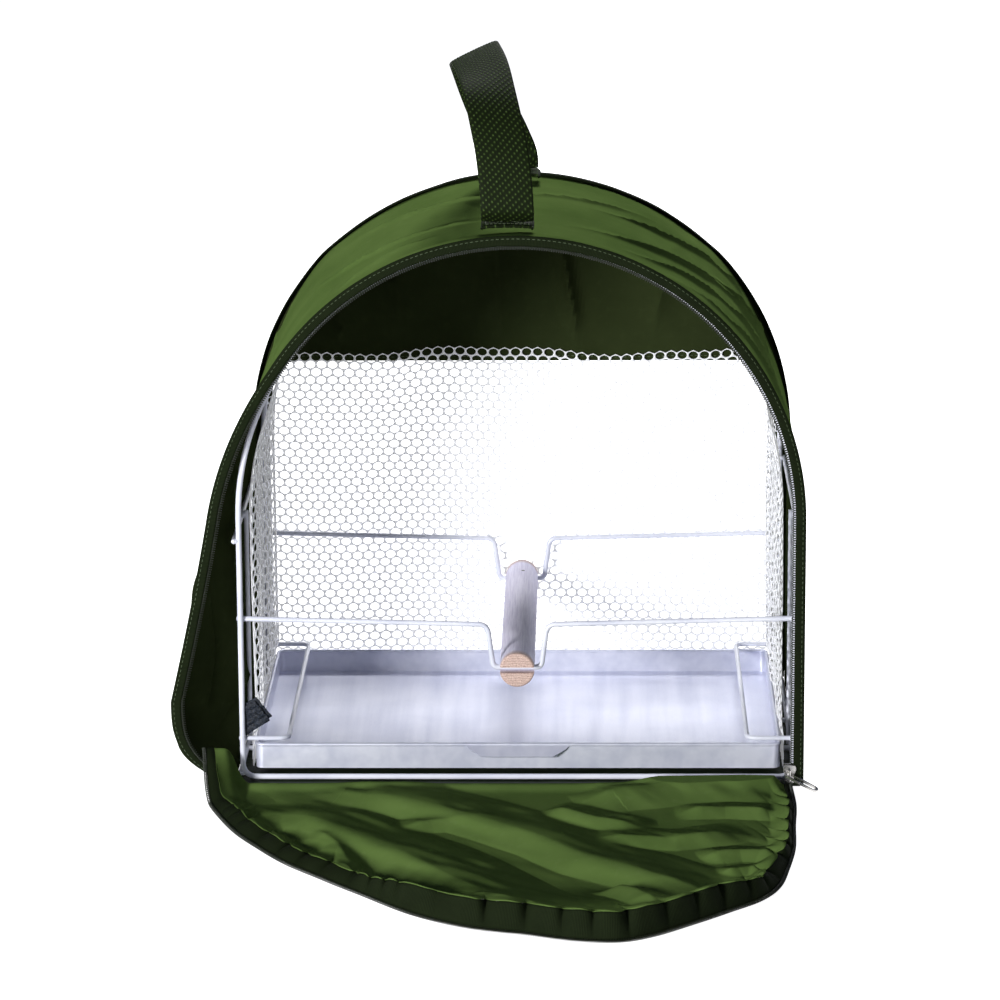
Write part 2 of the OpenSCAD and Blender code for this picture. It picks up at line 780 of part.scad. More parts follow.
module handle_patch_front() { handle_patch(-1); }
module handle_patch_rear() { handle_patch(1); }

// Hook-and-loop tie round the front left post
module tie_strap() {
    r = hoop_r + 0.2;
    t = 1.6;
    z = tray_top + 8;
    color("#20282c")
        translate([-post_x, -hoop_y, z]) {
            difference() {
                cylinder(r = r + t, h = tie_w);
                translate([0, 0, -1])
                    cylinder(r = r, h = tie_w + 2);
            }
            rotate([0, 0, 8])
                translate([0, -r - t, 0])
                    rotate([0, 35, 0])
                        translate([-1, 0, 1])
                            cube([tie_l, t, tie_w - 3]);
        }
}

front_hoop();
rear_hoop();
base_rail_left();
base_rail_right();
mid_rail_left();
mid_rail_right();
shoulder_rail_left();
shoulder_rail_right();
side_wire_left();
side_wire_right();
cross_wires_floor();
tray_loop_left();
tray_loop_right();
perch_rod_front();
perch_rod_rear();
perch();
tray();
gusset();
bag_floor();
back_panel();
back_net();
side_net_left();
side_net_right();
rear_binding();
zip_tape_body();
zip_teeth_body();
zip_slider();
zip_pull();
flap_panel();
zip_tape_flap();
zip_teeth_flap();
handle_strap();
handle_patch_front();
handle_patch_rear();
tie_strap();
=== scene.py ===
# Looks of a soft-sided travel carrier for a small bird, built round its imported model.
# The file follows the carrier as it is put together, from the wire frame out to the zips
# and the handle. Sizes are in millimetres and are turned to metres where a mesh is made.

import bpy
import numpy as np
from mathutils import Matrix, Vector


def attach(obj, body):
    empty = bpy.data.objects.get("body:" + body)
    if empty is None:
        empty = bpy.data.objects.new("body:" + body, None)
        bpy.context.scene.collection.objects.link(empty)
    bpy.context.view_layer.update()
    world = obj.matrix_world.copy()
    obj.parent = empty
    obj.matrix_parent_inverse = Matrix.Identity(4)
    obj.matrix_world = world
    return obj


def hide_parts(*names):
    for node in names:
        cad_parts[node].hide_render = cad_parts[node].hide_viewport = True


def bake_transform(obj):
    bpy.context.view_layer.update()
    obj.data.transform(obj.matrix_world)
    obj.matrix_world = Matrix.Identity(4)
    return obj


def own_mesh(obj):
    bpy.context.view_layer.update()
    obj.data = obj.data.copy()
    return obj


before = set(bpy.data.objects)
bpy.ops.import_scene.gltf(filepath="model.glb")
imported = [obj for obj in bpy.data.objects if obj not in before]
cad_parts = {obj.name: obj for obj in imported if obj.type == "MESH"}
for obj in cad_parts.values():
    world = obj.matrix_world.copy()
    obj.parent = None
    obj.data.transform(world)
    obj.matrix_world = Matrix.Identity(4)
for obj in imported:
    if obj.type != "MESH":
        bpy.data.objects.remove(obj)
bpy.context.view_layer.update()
scene = bpy.context.scene

# Camera. It stands about 2.7 m in front of the doorway and a little above the handle,
# with a long lens, as the picture of the real carrier was taken.
CAMERA_AT = (43.0, -2814.0, 855.0)
CAMERA_PITCH, CAMERA_YAW, CAMERA_ROLL = np.radians((13.92, -1.13, -0.33))
LENS = 159.7

look = Vector((np.sin(CAMERA_YAW) * np.cos(CAMERA_PITCH),
               np.cos(CAMERA_YAW) * np.cos(CAMERA_PITCH), -np.sin(CAMERA_PITCH)))
level = Vector((np.cos(CAMERA_YAW), -np.sin(CAMERA_YAW), 0))
across = level * np.cos(CAMERA_ROLL) + level.cross(look) * np.sin(CAMERA_ROLL)
turned = Matrix((across, across.cross(look), -look)).transposed().to_4x4()
camera = bpy.data.objects.new("camera", bpy.data.cameras.new("camera"))
camera.data.lens = LENS
camera.data.clip_start, camera.data.clip_end = 0.1, 50
camera.matrix_world = Matrix.Translation(Vector(CAMERA_AT) / 1000) @ turned
scene.collection.objects.link(camera)
scene.camera = camera
scene.view_settings.view_transform = "Standard"


# Studio. A wide white table runs far back behind the carrier. A soft box stands low at the
# front left, so that the open panel's folds show; one above lights the dome from behind.

def linear(colour):
    """An sRGB hex colour as linear red, green, blue and alpha."""
    parts = [int(colour[i:i + 2], 16) / 255 for i in (1, 3, 5)]
    return [c / 12.92 if c < 0.04045 else ((c + 0.055) / 1.055) ** 2.4 for c in parts] + [1]


def add(material, kind, settings, **links):
    """Adds a node with its settings, and links sockets to its inputs by name or number."""
    tree = material.node_tree
    node = tree.nodes.new("ShaderNode" + kind)
    for name, value in settings.items():
        if isinstance(name, int) or name[0].isupper():
            node.inputs[name].default_value = value
        else:
            setattr(node, name, value)
    for name, source in links.items():
        key = int(name[1:]) if name[1:].isdigit() else name.replace("_", " ")
        tree.links.new(source, node.inputs[key])
    return node


def material(name, settings):
    """A material whose surface is a Principled shader; it is linked when it is finished."""
    made = bpy.data.materials.new(name)
    made.use_nodes = True
    shader = made.node_tree.nodes["Principled BSDF"]
    for key, value in settings.items():
        shader.inputs[key].default_value = value
    return made


def finish_surface(made, **links):
    """Links sockets to the material's Principled shader."""
    shader = made.node_tree.nodes["Principled BSDF"]
    for name, source in links.items():
        made.node_tree.links.new(source, shader.inputs[name.replace("_", " ")])


def two_tone(made, height, low, high):
    """A ramp between two tones, each given as its place on the ramp and its colour."""
    ramp = add(made, "ValToRGB", {}, Fac=height)
    for stop, (at, colour) in zip(ramp.color_ramp.elements, (low, high)):
        stop.position, stop.color = at, linear(colour)
    return ramp


def put_mesh(name, points, faces, coat, smooth=True, uv=None):
    """An object from points in millimetres and faces, with one material."""
    mesh = bpy.data.meshes.new(name)
    faces = np.asarray(faces, dtype=np.int32)
    points = np.asarray(points, dtype=np.float32) / 1000
    sides = faces.shape[1]
    mesh.vertices.add(len(points))
    mesh.vertices.foreach_set("co", points.ravel())
    mesh.loops.add(faces.size)
    mesh.loops.foreach_set("vertex_index", faces.ravel())
    mesh.polygons.add(len(faces))
    mesh.polygons.foreach_set("loop_start", np.arange(len(faces), dtype=np.int32) * sides)
    mesh.polygons.foreach_set("use_smooth", np.full(len(faces), smooth))
    if uv is not None:
        layer = mesh.uv_layers.new(name="cloth")
        layer.data.foreach_set("uv", np.asarray(uv, dtype=np.float32)[faces.ravel()].ravel())
    mesh.update(calc_edges=True)
    mesh.validate()
    mesh.materials.append(coat)
    piece = bpy.data.objects.new(name, mesh)
    scene.collection.objects.link(piece)
    return piece


TABLE_HALF = 30000
TABLE_WHITE, TABLE_GLOW = "#f4f4f4", 0.97
white_table = material("white_laminate_table", {"Base Color": linear(TABLE_WHITE),
                                                "Roughness": 0.55})
# The glow lifts the table to white only where the eye, a mirror or glass sees it, and
# the carrier's shadow stays on it.
rays = add(white_table, "LightPath", {})
mirrored = add(white_table, "Math", {"operation": "MAXIMUM"},
               _0=rays.outputs["Is Glossy Ray"], _1=rays.outputs["Is Transmission Ray"])
seen = add(white_table, "Math", {"operation": "MAXIMUM"}, _0=rays.outputs["Is Camera Ray"],
           _1=mirrored.outputs[0])
strength = add(white_table, "Math", {"operation": "MULTIPLY", 1: TABLE_GLOW},
               _0=seen.outputs[0])
glow = add(white_table, "Emission", {"Color": (1, 1, 1, 1)}, Strength=strength.outputs[0])
lit = white_table.node_tree.nodes["Principled BSDF"]
both = add(white_table, "AddShader", {}, _0=lit.outputs[0], _1=glow.outputs[0])
white_table.node_tree.links.new(both.outputs[0],
                                white_table.node_tree.nodes["Material Output"].inputs[0])
table = put_mesh("table", [(-TABLE_HALF, -TABLE_HALF, -0.2), (TABLE_HALF, -TABLE_HALF, -0.2),
                           (TABLE_HALF, TABLE_HALF, -0.2), (-TABLE_HALF, TABLE_HALF, -0.2)],
                 [(0, 1, 2, 3)], white_table, smooth=False)

SKY_LIGHT, SKY_BLUE = 0.11, "#d0dcff"
world = bpy.data.worlds.new("studio")
scene.world = world
world.use_nodes = True
sky = world.node_tree.nodes["Background"]
sky_rays = add(world, "LightPath", {})
sky_tint = add(world, "Mix", {"data_type": "RGBA", 6: linear(SKY_BLUE), 7: (1, 1, 1, 1)},
               _0=sky_rays.outputs["Is Camera Ray"])
world.node_tree.links.new(sky_tint.outputs[2], sky.inputs["Color"])
sky_strength = add(world, "MapRange", {"To Min": SKY_LIGHT},
                   Value=sky_rays.outputs["Is Camera Ray"])
world.node_tree.links.new(sky_strength.outputs[0], sky.inputs["Strength"])


def soft_box(name, at, aim, size, power):
    """A square area lamp at a place in metres, turned to a point."""
    lamp = bpy.data.lights.new(name, "AREA")
    lamp.size = size
    lamp.energy = power
    box = bpy.data.objects.new(name, lamp)
    box.location = at
    box.rotation_euler = (Vector(aim) - Vector(at)).to_track_quat("-Z", "Y").to_euler()
    box.visible_camera = False
    scene.collection.objects.link(box)


soft_box("key", (-1.35, -2.15, 0.58), (0, -0.15, 0.08), 0.5, 68)
soft_box("fill", (1.6, -2.1, 0.9), (0, 0, 0.15), 1.2, 3)
soft_box("top", (0.15, 1.3, 1.85), (0, 0, 0.2), 0.6, 33)
soft_box("rear", (0.2, 2.3, 0.5), (0, 0, 0.15), 1.2, 9)


# Wire frame. Two hoops of steel wire are welded to rails, loops and cross wires, then
# powder coated white. The coat is smooth with a faint orange peel and pools at the welds.

POWDER_WHITE, POWDER_SHADE = "#eceef8", "#d6d9e8"
PEEL_MM = 0.9
powder = material("powder_coated_wire", {"Roughness": 0.34, "Coat Weight": 0.25,
                                         "Coat Roughness": 0.2})
place = add(powder, "TexCoord", {})
peel = add(powder, "TexNoise", {"Scale": 1000 / PEEL_MM, "Detail": 2},
           Vector=place.outputs["Object"])
patches = add(powder, "TexNoise", {"Scale": 1000 / 40, "Detail": 3},
              Vector=place.outputs["Object"])
tint = two_tone(powder, patches.outputs["Fac"], (0.3, POWDER_SHADE), (0.62, POWDER_WHITE))
relief = add(powder, "Bump", {"Strength": 0.12, "Distance": 0.0001},
             Height=peel.outputs["Fac"])
finish_surface(powder, Base_Color=tint.outputs["Color"], Normal=relief.outputs["Normal"])

LOOP_Z = 28.6
WIRES = ("hoop", "rail", "side_wire", "cross_wires", "tray_loop", "perch_rod")
for name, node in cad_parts.items():
    if any(w in name for w in WIRES):
        node.data.materials.clear()
        node.data.materials.append(powder)


def sweep(points, ring, side=None):
    """Points of rings carried along a path. ring holds (across, up) offsets in mm, and
    side is the direction of across, either fixed or one for each point."""
    points = np.asarray(points, float)
    ahead = np.gradient(points, axis=0)
    ahead /= np.linalg.norm(ahead, axis=1)[:, None]
    if side is None:
        side = (0.0, 0.0, 1.0) if abs(ahead[:, 2]).max() < 0.9 else (0.0, 1.0, 0.0)
    side = np.broadcast_to(np.asarray(side, float), points.shape).copy()
    side -= ahead * (side * ahead).sum(1)[:, None]
    side /= np.linalg.norm(side, axis=1)[:, None]
    up = np.cross(side, ahead)
    ring = np.asarray(ring, float)
    if ring.ndim == 2:
        ring = np.broadcast_to(ring, (len(points),) + ring.shape)
    return points[:, None] + ring[..., :1] * side[:, None] + ring[..., 1:] * up[:, None]


def tube_faces(rows, sides, start=0, loop=False):
    """Quads between rings, for rings that close round on themselves."""
    i, j = np.meshgrid(np.arange(rows if loop else rows - 1), np.arange(sides), indexing="ij")
    a, b = i * sides + j, i * sides + (j + 1) % sides
    c = (i + 1) % rows * sides
    return start + np.stack([a, b, c + (j + 1) % sides, c + j], -1).reshape(-1, 4)


def round_ring(radius, sides):
    turn = np.arange(sides) * 2 * np.pi / sides
    return np.stack([radius * np.cos(turn), radius * np.sin(turn)], -1)


def put_beads(name, beads, coat, rings=7, sides=10):
    """Small closed ovals, such as welds and stitches: (middle, long axis, two radii)."""
    turn = np.linspace(0.02, np.pi - 0.02, rings)
    points, faces = [], []
    for middle, axis, long, thick in beads:
        axis = np.asarray(axis, float) / np.linalg.norm(axis)
        other = np.cross(axis, (0.13, 0.31, 0.94))
        other /= np.linalg.norm(other)
        third = np.cross(axis, other)
        around = round_ring(1, sides)
        start = len(points) * rings * sides
        oval = (np.asarray(middle) - long * np.cos(turn)[:, None, None] * axis
                + thick * np.sin(turn)[:, None, None]
                * (around[None, :, :1] * other + around[None, :, 1:] * third))
        points.append(oval.reshape(-1, 3))
        faces.append(tube_faces(rings, sides, start))
    return put_mesh(name, np.concatenate(points), np.concatenate(faces), coat)


# Welds: a small bead fills the corner wherever two wires cross, and the cut ends of the
# rails and rods are rounded over by the coat.
HOOP_Y, POST_X, SPRING_Z = 113.0, 175.0, 174.0
WIRE_R, RAIL_R, RAIL_X = 1.8, 1.5, 178.1
SHOULDER = np.radians(43)
rail_spots = [(s * RAIL_X, 159.0) for s in (-1, 1)]
rail_spots += [(s * RAIL_X * np.cos(SHOULDER), SPRING_Z + RAIL_X * np.sin(SHOULDER))
               for s in (-1, 1)]
rail_spots += [(s * 176.57, 6.45) for s in (-1, 1)]
welds = []
for x, z in rail_spots:
    inward = np.array([-x, 0, SPRING_Z - z if z > SPRING_Z else 0]) / np.hypot(x, 1)
    for y in (-HOOP_Y, HOOP_Y):
        welds.append((np.array([x, y, z]) + 1.5 * inward, (0, 1, 0), 2.5, 1.75))
        welds.append(((x, np.sign(y) * (HOOP_Y + WIRE_R), z), (0, 1, 0), 0.8, RAIL_R))
for s in (-1, 1):
    for y in (-HOOP_Y, HOOP_Y):
        welds.append(((s * (POST_X - 0.6), y - np.sign(y) * 1.5, LOOP_Z), (0, 0, 1),
                      2.2, 1.9))
        welds.append(((s * (POST_X + WIRE_R), y - np.sign(y) * 3.1, LOOP_Z), (1, 0, 0),
                      0.8, RAIL_R))
        welds.append(((s * (POST_X - 0.6), y - np.sign(y) * 1.6, 107.5), (0, 0, 1), 2.3, 2.0))
        welds.append(((s * (POST_X + WIRE_R), y - np.sign(y) * 3.3, 107.5), (1, 0, 0), 0.9, 1.7))
    welds.append(((s * 176.7, -45.0, 159.0), (0, 0, 1), 2.4, 1.7))
weld_beads = put_beads("weld_beads", welds, powder)
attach(weld_beads, "bag_and_frame")


# Perch. A 22 mm softwood dowel, weathered grey, with a level saw kerf in each end for the
# rods. The sawn ends are still pinkish tan, with growth rings and torn fibres.

WOOD_GREY, WOOD_DARK = "#f2eeff", "#d8d2ea"
END_TAN, END_LIGHT, END_DARK = "#cdb0a4", "#e8d2c8", "#a98a7e"
GRAIN_MM, RING_MM = 1.1, 1.6
# A wave texture repeats every 2 pi / 20 of its own unit
WAVE_STEP = 2 * np.pi / 20
dowel = material("weathered_pine_dowel", {"Roughness": 0.72})
place = add(dowel, "TexCoord", {})
drawn_out = add(dowel, "Mapping", {"Scale": (1, 0.035, 1)}, Vector=place.outputs["Object"])
grain = add(dowel, "TexNoise", {"Scale": 1000 / GRAIN_MM, "Detail": 5, "Roughness": 0.65},
            Vector=drawn_out.outputs["Vector"])
long_grain = two_tone(dowel, grain.outputs["Fac"], (0.32, WOOD_DARK), (0.6, WOOD_GREY))
rings = add(dowel, "TexWave", {"wave_type": "RINGS", "rings_direction": "Y",
                               "Scale": WAVE_STEP * 1000 / RING_MM, "Distortion": 2.5,
                               "Detail": 3, "Detail Scale": 3},
            Vector=place.outputs["Object"])
fibres = add(dowel, "TexNoise", {"Scale": 1000 / 0.8, "Detail": 4}, Vector=place.outputs["Object"])
torn = add(dowel, "Mix", {"data_type": "FLOAT", 0: 0.85}, _2=rings.outputs["Fac"],
           _3=fibres.outputs["Fac"])
end_grain = two_tone(dowel, torn.outputs[0], (0.3, END_DARK), (0.72, END_LIGHT))
middle_tan = end_grain.color_ramp.elements.new(0.5)
middle_tan.color = linear(END_TAN)
# An end is where the surface faces along the dowel, or lies within its last few millimetres.
faces_out = add(dowel, "SeparateXYZ", {}, Vector=place.outputs["Normal"])
squareness = add(dowel, "Math", {"operation": "ABSOLUTE"}, _0=faces_out.outputs["Y"])
where = add(dowel, "SeparateXYZ", {}, Vector=place.outputs["Object"])
reach = add(dowel, "Math", {"operation": "ABSOLUTE"}, _0=where.outputs["Y"])
worn = add(dowel, "MapRange", {"From Min": 0.108, "From Max": 0.1165}, Value=reach.outputs[0])
is_end = add(dowel, "Math", {"operation": "MAXIMUM"}, _0=squareness.outputs[0],
             _1=worn.outputs[0])
skin = add(dowel, "Mix", {"data_type": "RGBA"}, _0=is_end.outputs[0],
           _6=long_grain.outputs["Color"], _7=end_grain.outputs["Color"])
relief = add(dowel, "Bump", {"Strength": 0.5, "Distance": 0.0003}, Height=grain.outputs["Fac"])
rough_end = add(dowel, "Bump", {"Strength": 0.6, "Distance": 0.0005},
                Height=fibres.outputs["Fac"], Normal=relief.outputs["Normal"])
finish_surface(dowel, Base_Color=skin.outputs[2], Normal=rough_end.outputs["Normal"])
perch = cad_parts["perch"]
perch.data.materials.clear()
perch.data.materials.append(dowel)

# A nail head is sunk in the top near the rear end, where the dowel was once held.
NAIL_GREY = "#6d6a72"
nail_steel = material("dull_nail_steel", {"Base Color": linear(NAIL_GREY), "Metallic": 0.8,
                                          "Roughness": 0.5})
nail = put_beads("perch_nail", [((1.0, 88.0, 86.3), (0, 0, 1), 0.45, 1.3)], nail_steel)
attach(nail, "bag_and_frame")


# Tray. Bright zinc-plated sheet steel, folded up on four sides with a rolled rim and a
# bent pull lip. It is satin, scuffed lengthwise by litter and cleaning.

ZINC, ZINC_SHADE = "#e6e8f6", "#d2d5e7"
SCUFF_MM = 0.7
zinc = material("zinc_plated_sheet", {"Metallic": 0.5, "Roughness": 0.4})
place = add(zinc, "TexCoord", {})
drawn_out = add(zinc, "Mapping", {"Scale": (1, 0.12, 1)}, Vector=place.outputs["Object"])
scuffs = add(zinc, "TexNoise", {"Scale": 1000 / SCUFF_MM, "Detail": 4, "Roughness": 0.6},
             Vector=drawn_out.outputs["Vector"])
clouds = add(zinc, "TexNoise", {"Scale": 1000 / 60, "Detail": 3}, Vector=place.outputs["Object"])
streaks = add(zinc, "Mapping", {"Scale": (1, 0.05, 1)}, Vector=place.outputs["Object"])
bands = add(zinc, "TexNoise", {"Scale": 1000 / 9, "Detail": 2}, Vector=streaks.outputs["Vector"])
toned = add(zinc, "Mix", {"data_type": "FLOAT", 0: 0.5}, _2=clouds.outputs["Fac"],
            _3=bands.outputs["Fac"])
tint = two_tone(zinc, toned.outputs[0], (0.36, ZINC_SHADE), (0.6, ZINC))
shine = add(zinc, "MapRange", {"From Min": 0.3, "From Max": 0.7, "To Min": 0.34, "To Max": 0.52},
            Value=scuffs.outputs["Fac"])
relief = add(zinc, "Bump", {"Strength": 0.1, "Distance": 0.0001}, Height=scuffs.outputs["Fac"])
finish_surface(zinc, Base_Color=tint.outputs["Color"], Roughness=shine.outputs[0],
               Normal=relief.outputs["Normal"])
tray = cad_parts["tray"]
tray.data.materials.clear()
tray.data.materials.append(zinc)


# Bag fabric. Dark green nylon taffeta with a thin coating, cut as one long strip that makes
# both sides and the dome. It lies on the frame's rails, and the weave shows as a fine grid.

NYLON, NYLON_DEEP, NYLON_PAINTED_SHEEN = "#5b713b", "#506633", "#66794a"
THREAD_MM = 0.55
nylon = material("coated_nylon_taffeta", {"Roughness": 0.45, "Specular IOR Level": 0.0})
cloth_at = add(nylon, "UVMap", {"uv_map": "cloth"})
weave = add(nylon, "TexChecker", {"Scale": 1000 / THREAD_MM}, Vector=cloth_at.outputs["UV"])
mottle = add(nylon, "TexNoise", {"Scale": 1000 / 70, "Detail": 4}, Vector=cloth_at.outputs["UV"])
# Small lighter specks are painted sheen on the green, standing in for the nylon's gloss, since the
# shader has no specular reflection.
sheen_specks = add(nylon, "TexNoise", {"Scale": 1000 / 6, "Detail": 3}, Vector=cloth_at.outputs["UV"])
toned = two_tone(nylon, mottle.outputs["Fac"], (0.3, NYLON_DEEP), (0.68, NYLON))
painted_sheen = add(nylon, "MapRange", {"From Min": 0.55, "From Max": 0.9, "To Max": 0.35},
           Value=sheen_specks.outputs["Fac"])
with_painted_sheen = add(nylon, "Mix", {"data_type": "RGBA", 7: linear(NYLON_PAINTED_SHEEN)}, _0=painted_sheen.outputs[0],
              _6=toned.outputs["Color"])
# Folds are shaded deeper than they stand, since the tray has to slide close over them
swell = add(nylon, "Attribute", {"attribute_name": "swell"})
deeper = add(nylon, "Bump", {"Strength": 1.0, "Distance": 1.0}, Height=swell.outputs["Fac"])
relief = add(nylon, "Bump", {"Strength": 0.2, "Distance": 0.00015},
             Height=weave.outputs["Fac"], Normal=deeper.outputs["Normal"])
finish_surface(nylon, Base_Color=with_painted_sheen.outputs[2], Normal=relief.outputs["Normal"])

# The coated side faces in. Its colour is painted shade: a darker, deader green for the inside of the
# bag, which lies in the dome's shade, with almost none of the painted sheen.
INSIDE_PAINTED_SHADE, INSIDE_PAINTED_SHADE_DEEP = "#2e361e", "#262d18"
nylon_inside_painted_shade = nylon.copy()
nylon_inside_painted_shade.name = "nylon_taffeta_inside_painted_shade"
for node in nylon_inside_painted_shade.node_tree.nodes:
    if node.type == "VALTORGB":
        node.color_ramp.elements[0].color = linear(INSIDE_PAINTED_SHADE_DEEP)
        node.color_ramp.elements[1].color = linear(INSIDE_PAINTED_SHADE)
    if node.type == "MAP_RANGE":
        node.inputs["To Max"].default_value = 0.04


def noise(x, y, seed):
    """Smooth noise from -1 to 1, with about one bump for each unit of x and y."""
    table = np.random.default_rng(seed).uniform(-1, 1, (64, 64))
    x, y = np.broadcast_arrays(np.asarray(x, float), np.asarray(y, float))
    i, j = np.floor(x).astype(int), np.floor(y).astype(int)
    u, v = x - i, y - j
    u, v = u * u * (3 - 2 * u), v * v * (3 - 2 * v)
    top = table[j % 64, i % 64] * (1 - u) + table[j % 64, (i + 1) % 64] * u
    low = table[(j + 1) % 64, i % 64] * (1 - u) + table[(j + 1) % 64, (i + 1) % 64] * u
    return top * (1 - v) + low * v


def ease(t):
    t = np.clip(t, 0, 1)
    return t * t * (3 - 2 * t)


def near_line(x, y, line):
    """Distance from a line of points, the run along it, its length, and a side that is
    positive to the left of it."""
    line = np.asarray(line, float)
    steps = np.linalg.norm(np.diff(line, axis=0), axis=1)
    run, found = 0.0, np.full(np.shape(x), 1e9)
    along, side = np.zeros(np.shape(x)), np.ones(np.shape(x))
    for (ax, ay), (bx, by), step in zip(line[:-1], line[1:], steps):
        t = np.clip(((x - ax) * (bx - ax) + (y - ay) * (by - ay)) / step ** 2, 0, 1)
        off = np.hypot(x - ax - t * (bx - ax), y - ay - t * (by - ay))
        nearer = off < found
        found = np.where(nearer, off, found)
        along = np.where(nearer, run + t * step, along)
        side = np.where(nearer, (bx - ax) * (y - ay) - (by - ay) * (x - ax), side)
        run += step
    return found, along, steps.sum(), side


def fold(x, y, line, width, height, sharp=0.5):
    """Height of a fold along a line of points: a soft ridge with a narrower crest."""
    found, along, total, _ = near_line(x, y, line)
    fade = ease(along / (0.3 * total)) * ease((total - along) / (0.3 * total))
    soft = np.exp(-(found / width) ** 2)
    crest = np.exp(-found / (0.35 * width))
    return height * fade * ((1 - sharp) * soft + sharp * crest)


def grid_faces(rows, cols, start=0):
    i, j = np.meshgrid(np.arange(rows - 1), np.arange(cols - 1), indexing="ij")
    a = start + i * cols + j
    return np.stack([a, a + 1, a + cols + 1, a + cols], -1).reshape(-1, 4)


def add_swell(piece, height_mm, share):
    """Keeps the height of the folds at each point for the cloth's shading."""
    layer = piece.data.attributes.new("swell", "FLOAT", "POINT")
    layer.data.foreach_set("value", (share / 1000 * height_mm).astype(np.float32).ravel())


def thicken(piece, thickness, offset=0.0):
    solid = piece.modifiers.new("thickness", "SOLIDIFY")
    solid.thickness = thickness / 1000
    solid.offset = offset


# Slack of the unzipped left edge: it stands out from the posts, most at FLARE_Z.
FLARE, FLARE_Z, FLARE_TOP, FLARE_DEPTH = 38.0, 56.0, 272.0, 70.0
BAG_HALF_DEPTH, FABRIC_R = 121.0, 180.1


def slack(z):
    above = np.clip((FLARE_TOP - z) / (FLARE_TOP - FLARE_Z), 0, 1) ** 1.35
    below = 1 - (1 - np.clip(z / FLARE_Z, 0, 1)) ** 3.2
    return FLARE * np.where(z > FLARE_Z, above, below)


RAIL_TURN = 47
WALL_L = SPRING_Z
ARCH_L = np.pi * FABRIC_R
STRIP_L = 2 * WALL_L + ARCH_L


def section(along, radius):
    """Points and outward directions of the bag's section, along its strip from the lower
    left over the dome to the lower right."""
    turn = np.clip((along - WALL_L) / ARCH_L, 0, 1) * np.pi
    x, z = -radius * np.cos(turn), SPRING_Z + radius * np.sin(turn)
    z = np.where(along < WALL_L, along, np.where(along > WALL_L + ARCH_L, STRIP_L - along, z))
    return x, z, -np.cos(turn), np.sin(turn)


def front_edge(along, out):
    """The doorway's edge: the section with the slack edge's swing, out past the fabric."""
    x, z, nx, nz = section(along, FABRIC_R + out)
    loose = np.where(x < 0, slack(z), 0)
    return x + loose * nx, z + loose * nz, nx, nz


def between_rails(turn):
    """1 at the top of the dome, falling to 0 at the shoulder rails, for a turn in degrees."""
    return 1 - np.abs(np.clip((turn - 90) / RAIL_TURN, -1, 1)) ** 3


def lean(along, depth):
    """How far the strip stands off its plain section: drawn down between the shoulder
    rails, tented over each rail, creased where it was folded for packing."""
    turn = np.degrees(np.clip((along - WALL_L) / ARCH_L, 0, 1) * np.pi)
    x, z, nx, nz = section(along, FABRIC_R)
    share = depth / (2 * BAG_HALF_DEPTH)
    crown = between_rails(turn)
    down = -3.0 * crown * ease((depth - 6) / 30) - 2.2 * crown * np.sin(np.pi * share) ** 2
    walls = np.clip(1 - np.abs(z - 82) / 76, 0, 1) * (along < WALL_L + 0.1)
    walls += np.clip(1 - np.abs(z - 82) / 76, 0, 1) * (along > WALL_L + ARCH_L - 0.1)
    down -= 1.6 * ease(walls * 1.6) * np.sin(np.pi * share) ** 0.7
    haunch = np.clip(1 - np.abs(np.abs(turn - 90) - 66) / 19, 0, 1)
    down -= 1.9 * ease(haunch) * ease((depth - 10) / 30)
    return down


CREASES = (
    # (along, depth) in mm from the lower left front corner, width and height
    (((330, 205), (390, 175), (450, 168), (505, 176), (560, 200)), 6, 2.5),
    (((300, 120), (360, 96), (420, 86), (470, 84)), 5, 2.4),
    (((480, 70), (530, 82), (585, 110), (640, 150), (680, 200)), 6, 3.7),
    (((520, 40), (580, 66), (635, 96), (690, 140)), 5, 3.1),
    (((560, 20), (610, 34), (655, 60), (700, 84)), 5, 2.7),
    (((500, 150), (560, 166), (610, 196), (640, 232)), 5, 3.1),
    (((590, 130), (640, 172), (668, 222)), 4, 3.4),
    (((250, 60), (268, 110), (262, 170), (240, 220)), 7, 2.5),
    (((330, 40), (372, 60), (410, 62)), 6, 1.5),
    (((262, 10), (215, 20), (165, 34), (115, 46), (70, 52)), 9, -5.0),
    (((232, 40), (180, 58), (120, 74), (60, 84)), 10, 3.5),
    (((18, 20), (40, 44), (52, 74), (58, 110)), 9, -4.0),
    (((150, 8), (110, 18), (72, 22), (36, 26)), 7, -3.0),
    (((60, 40), (95, 90), (120, 150), (128, 220)), 12, 4.1),
    (((20, 110), (60, 140), (95, 190), (110, 235)), 10, 3.4),
    (((150, 30), (140, 90), (150, 150), (172, 210)), 9, 2.7),
    (((790, 30), (800, 90), (790, 160), (770, 225)), 10, 3.1),
    (((860, 20), (842, 80), (838, 150), (850, 215)), 11, 3.4),
    (((735, 50), (745, 110), (738, 170), (722, 220)), 8, 2.5),
    (((885, 120), (870, 170), (850, 232)), 9, 2.4),
)


def ruffle(along, depth):
    """Creases and small wrinkles of the strip, outward."""
    wave = sum(fold(along, depth, line, width, height) for line, width, height in CREASES)
    stretched = noise(along / 21, depth / 70, 11) + 0.5 * noise(along / 9, depth / 38, 12)
    fine = 0.5 - np.abs(noise(along / 34 + 0.3 * noise(along / 60, depth / 60, 13),
                              depth / 46, 14))
    still = ease(depth / 12) * ease((2 * BAG_HALF_DEPTH - depth) / 10)
    return (wave + 0.45 * stretched + 0.7 * fine) * still


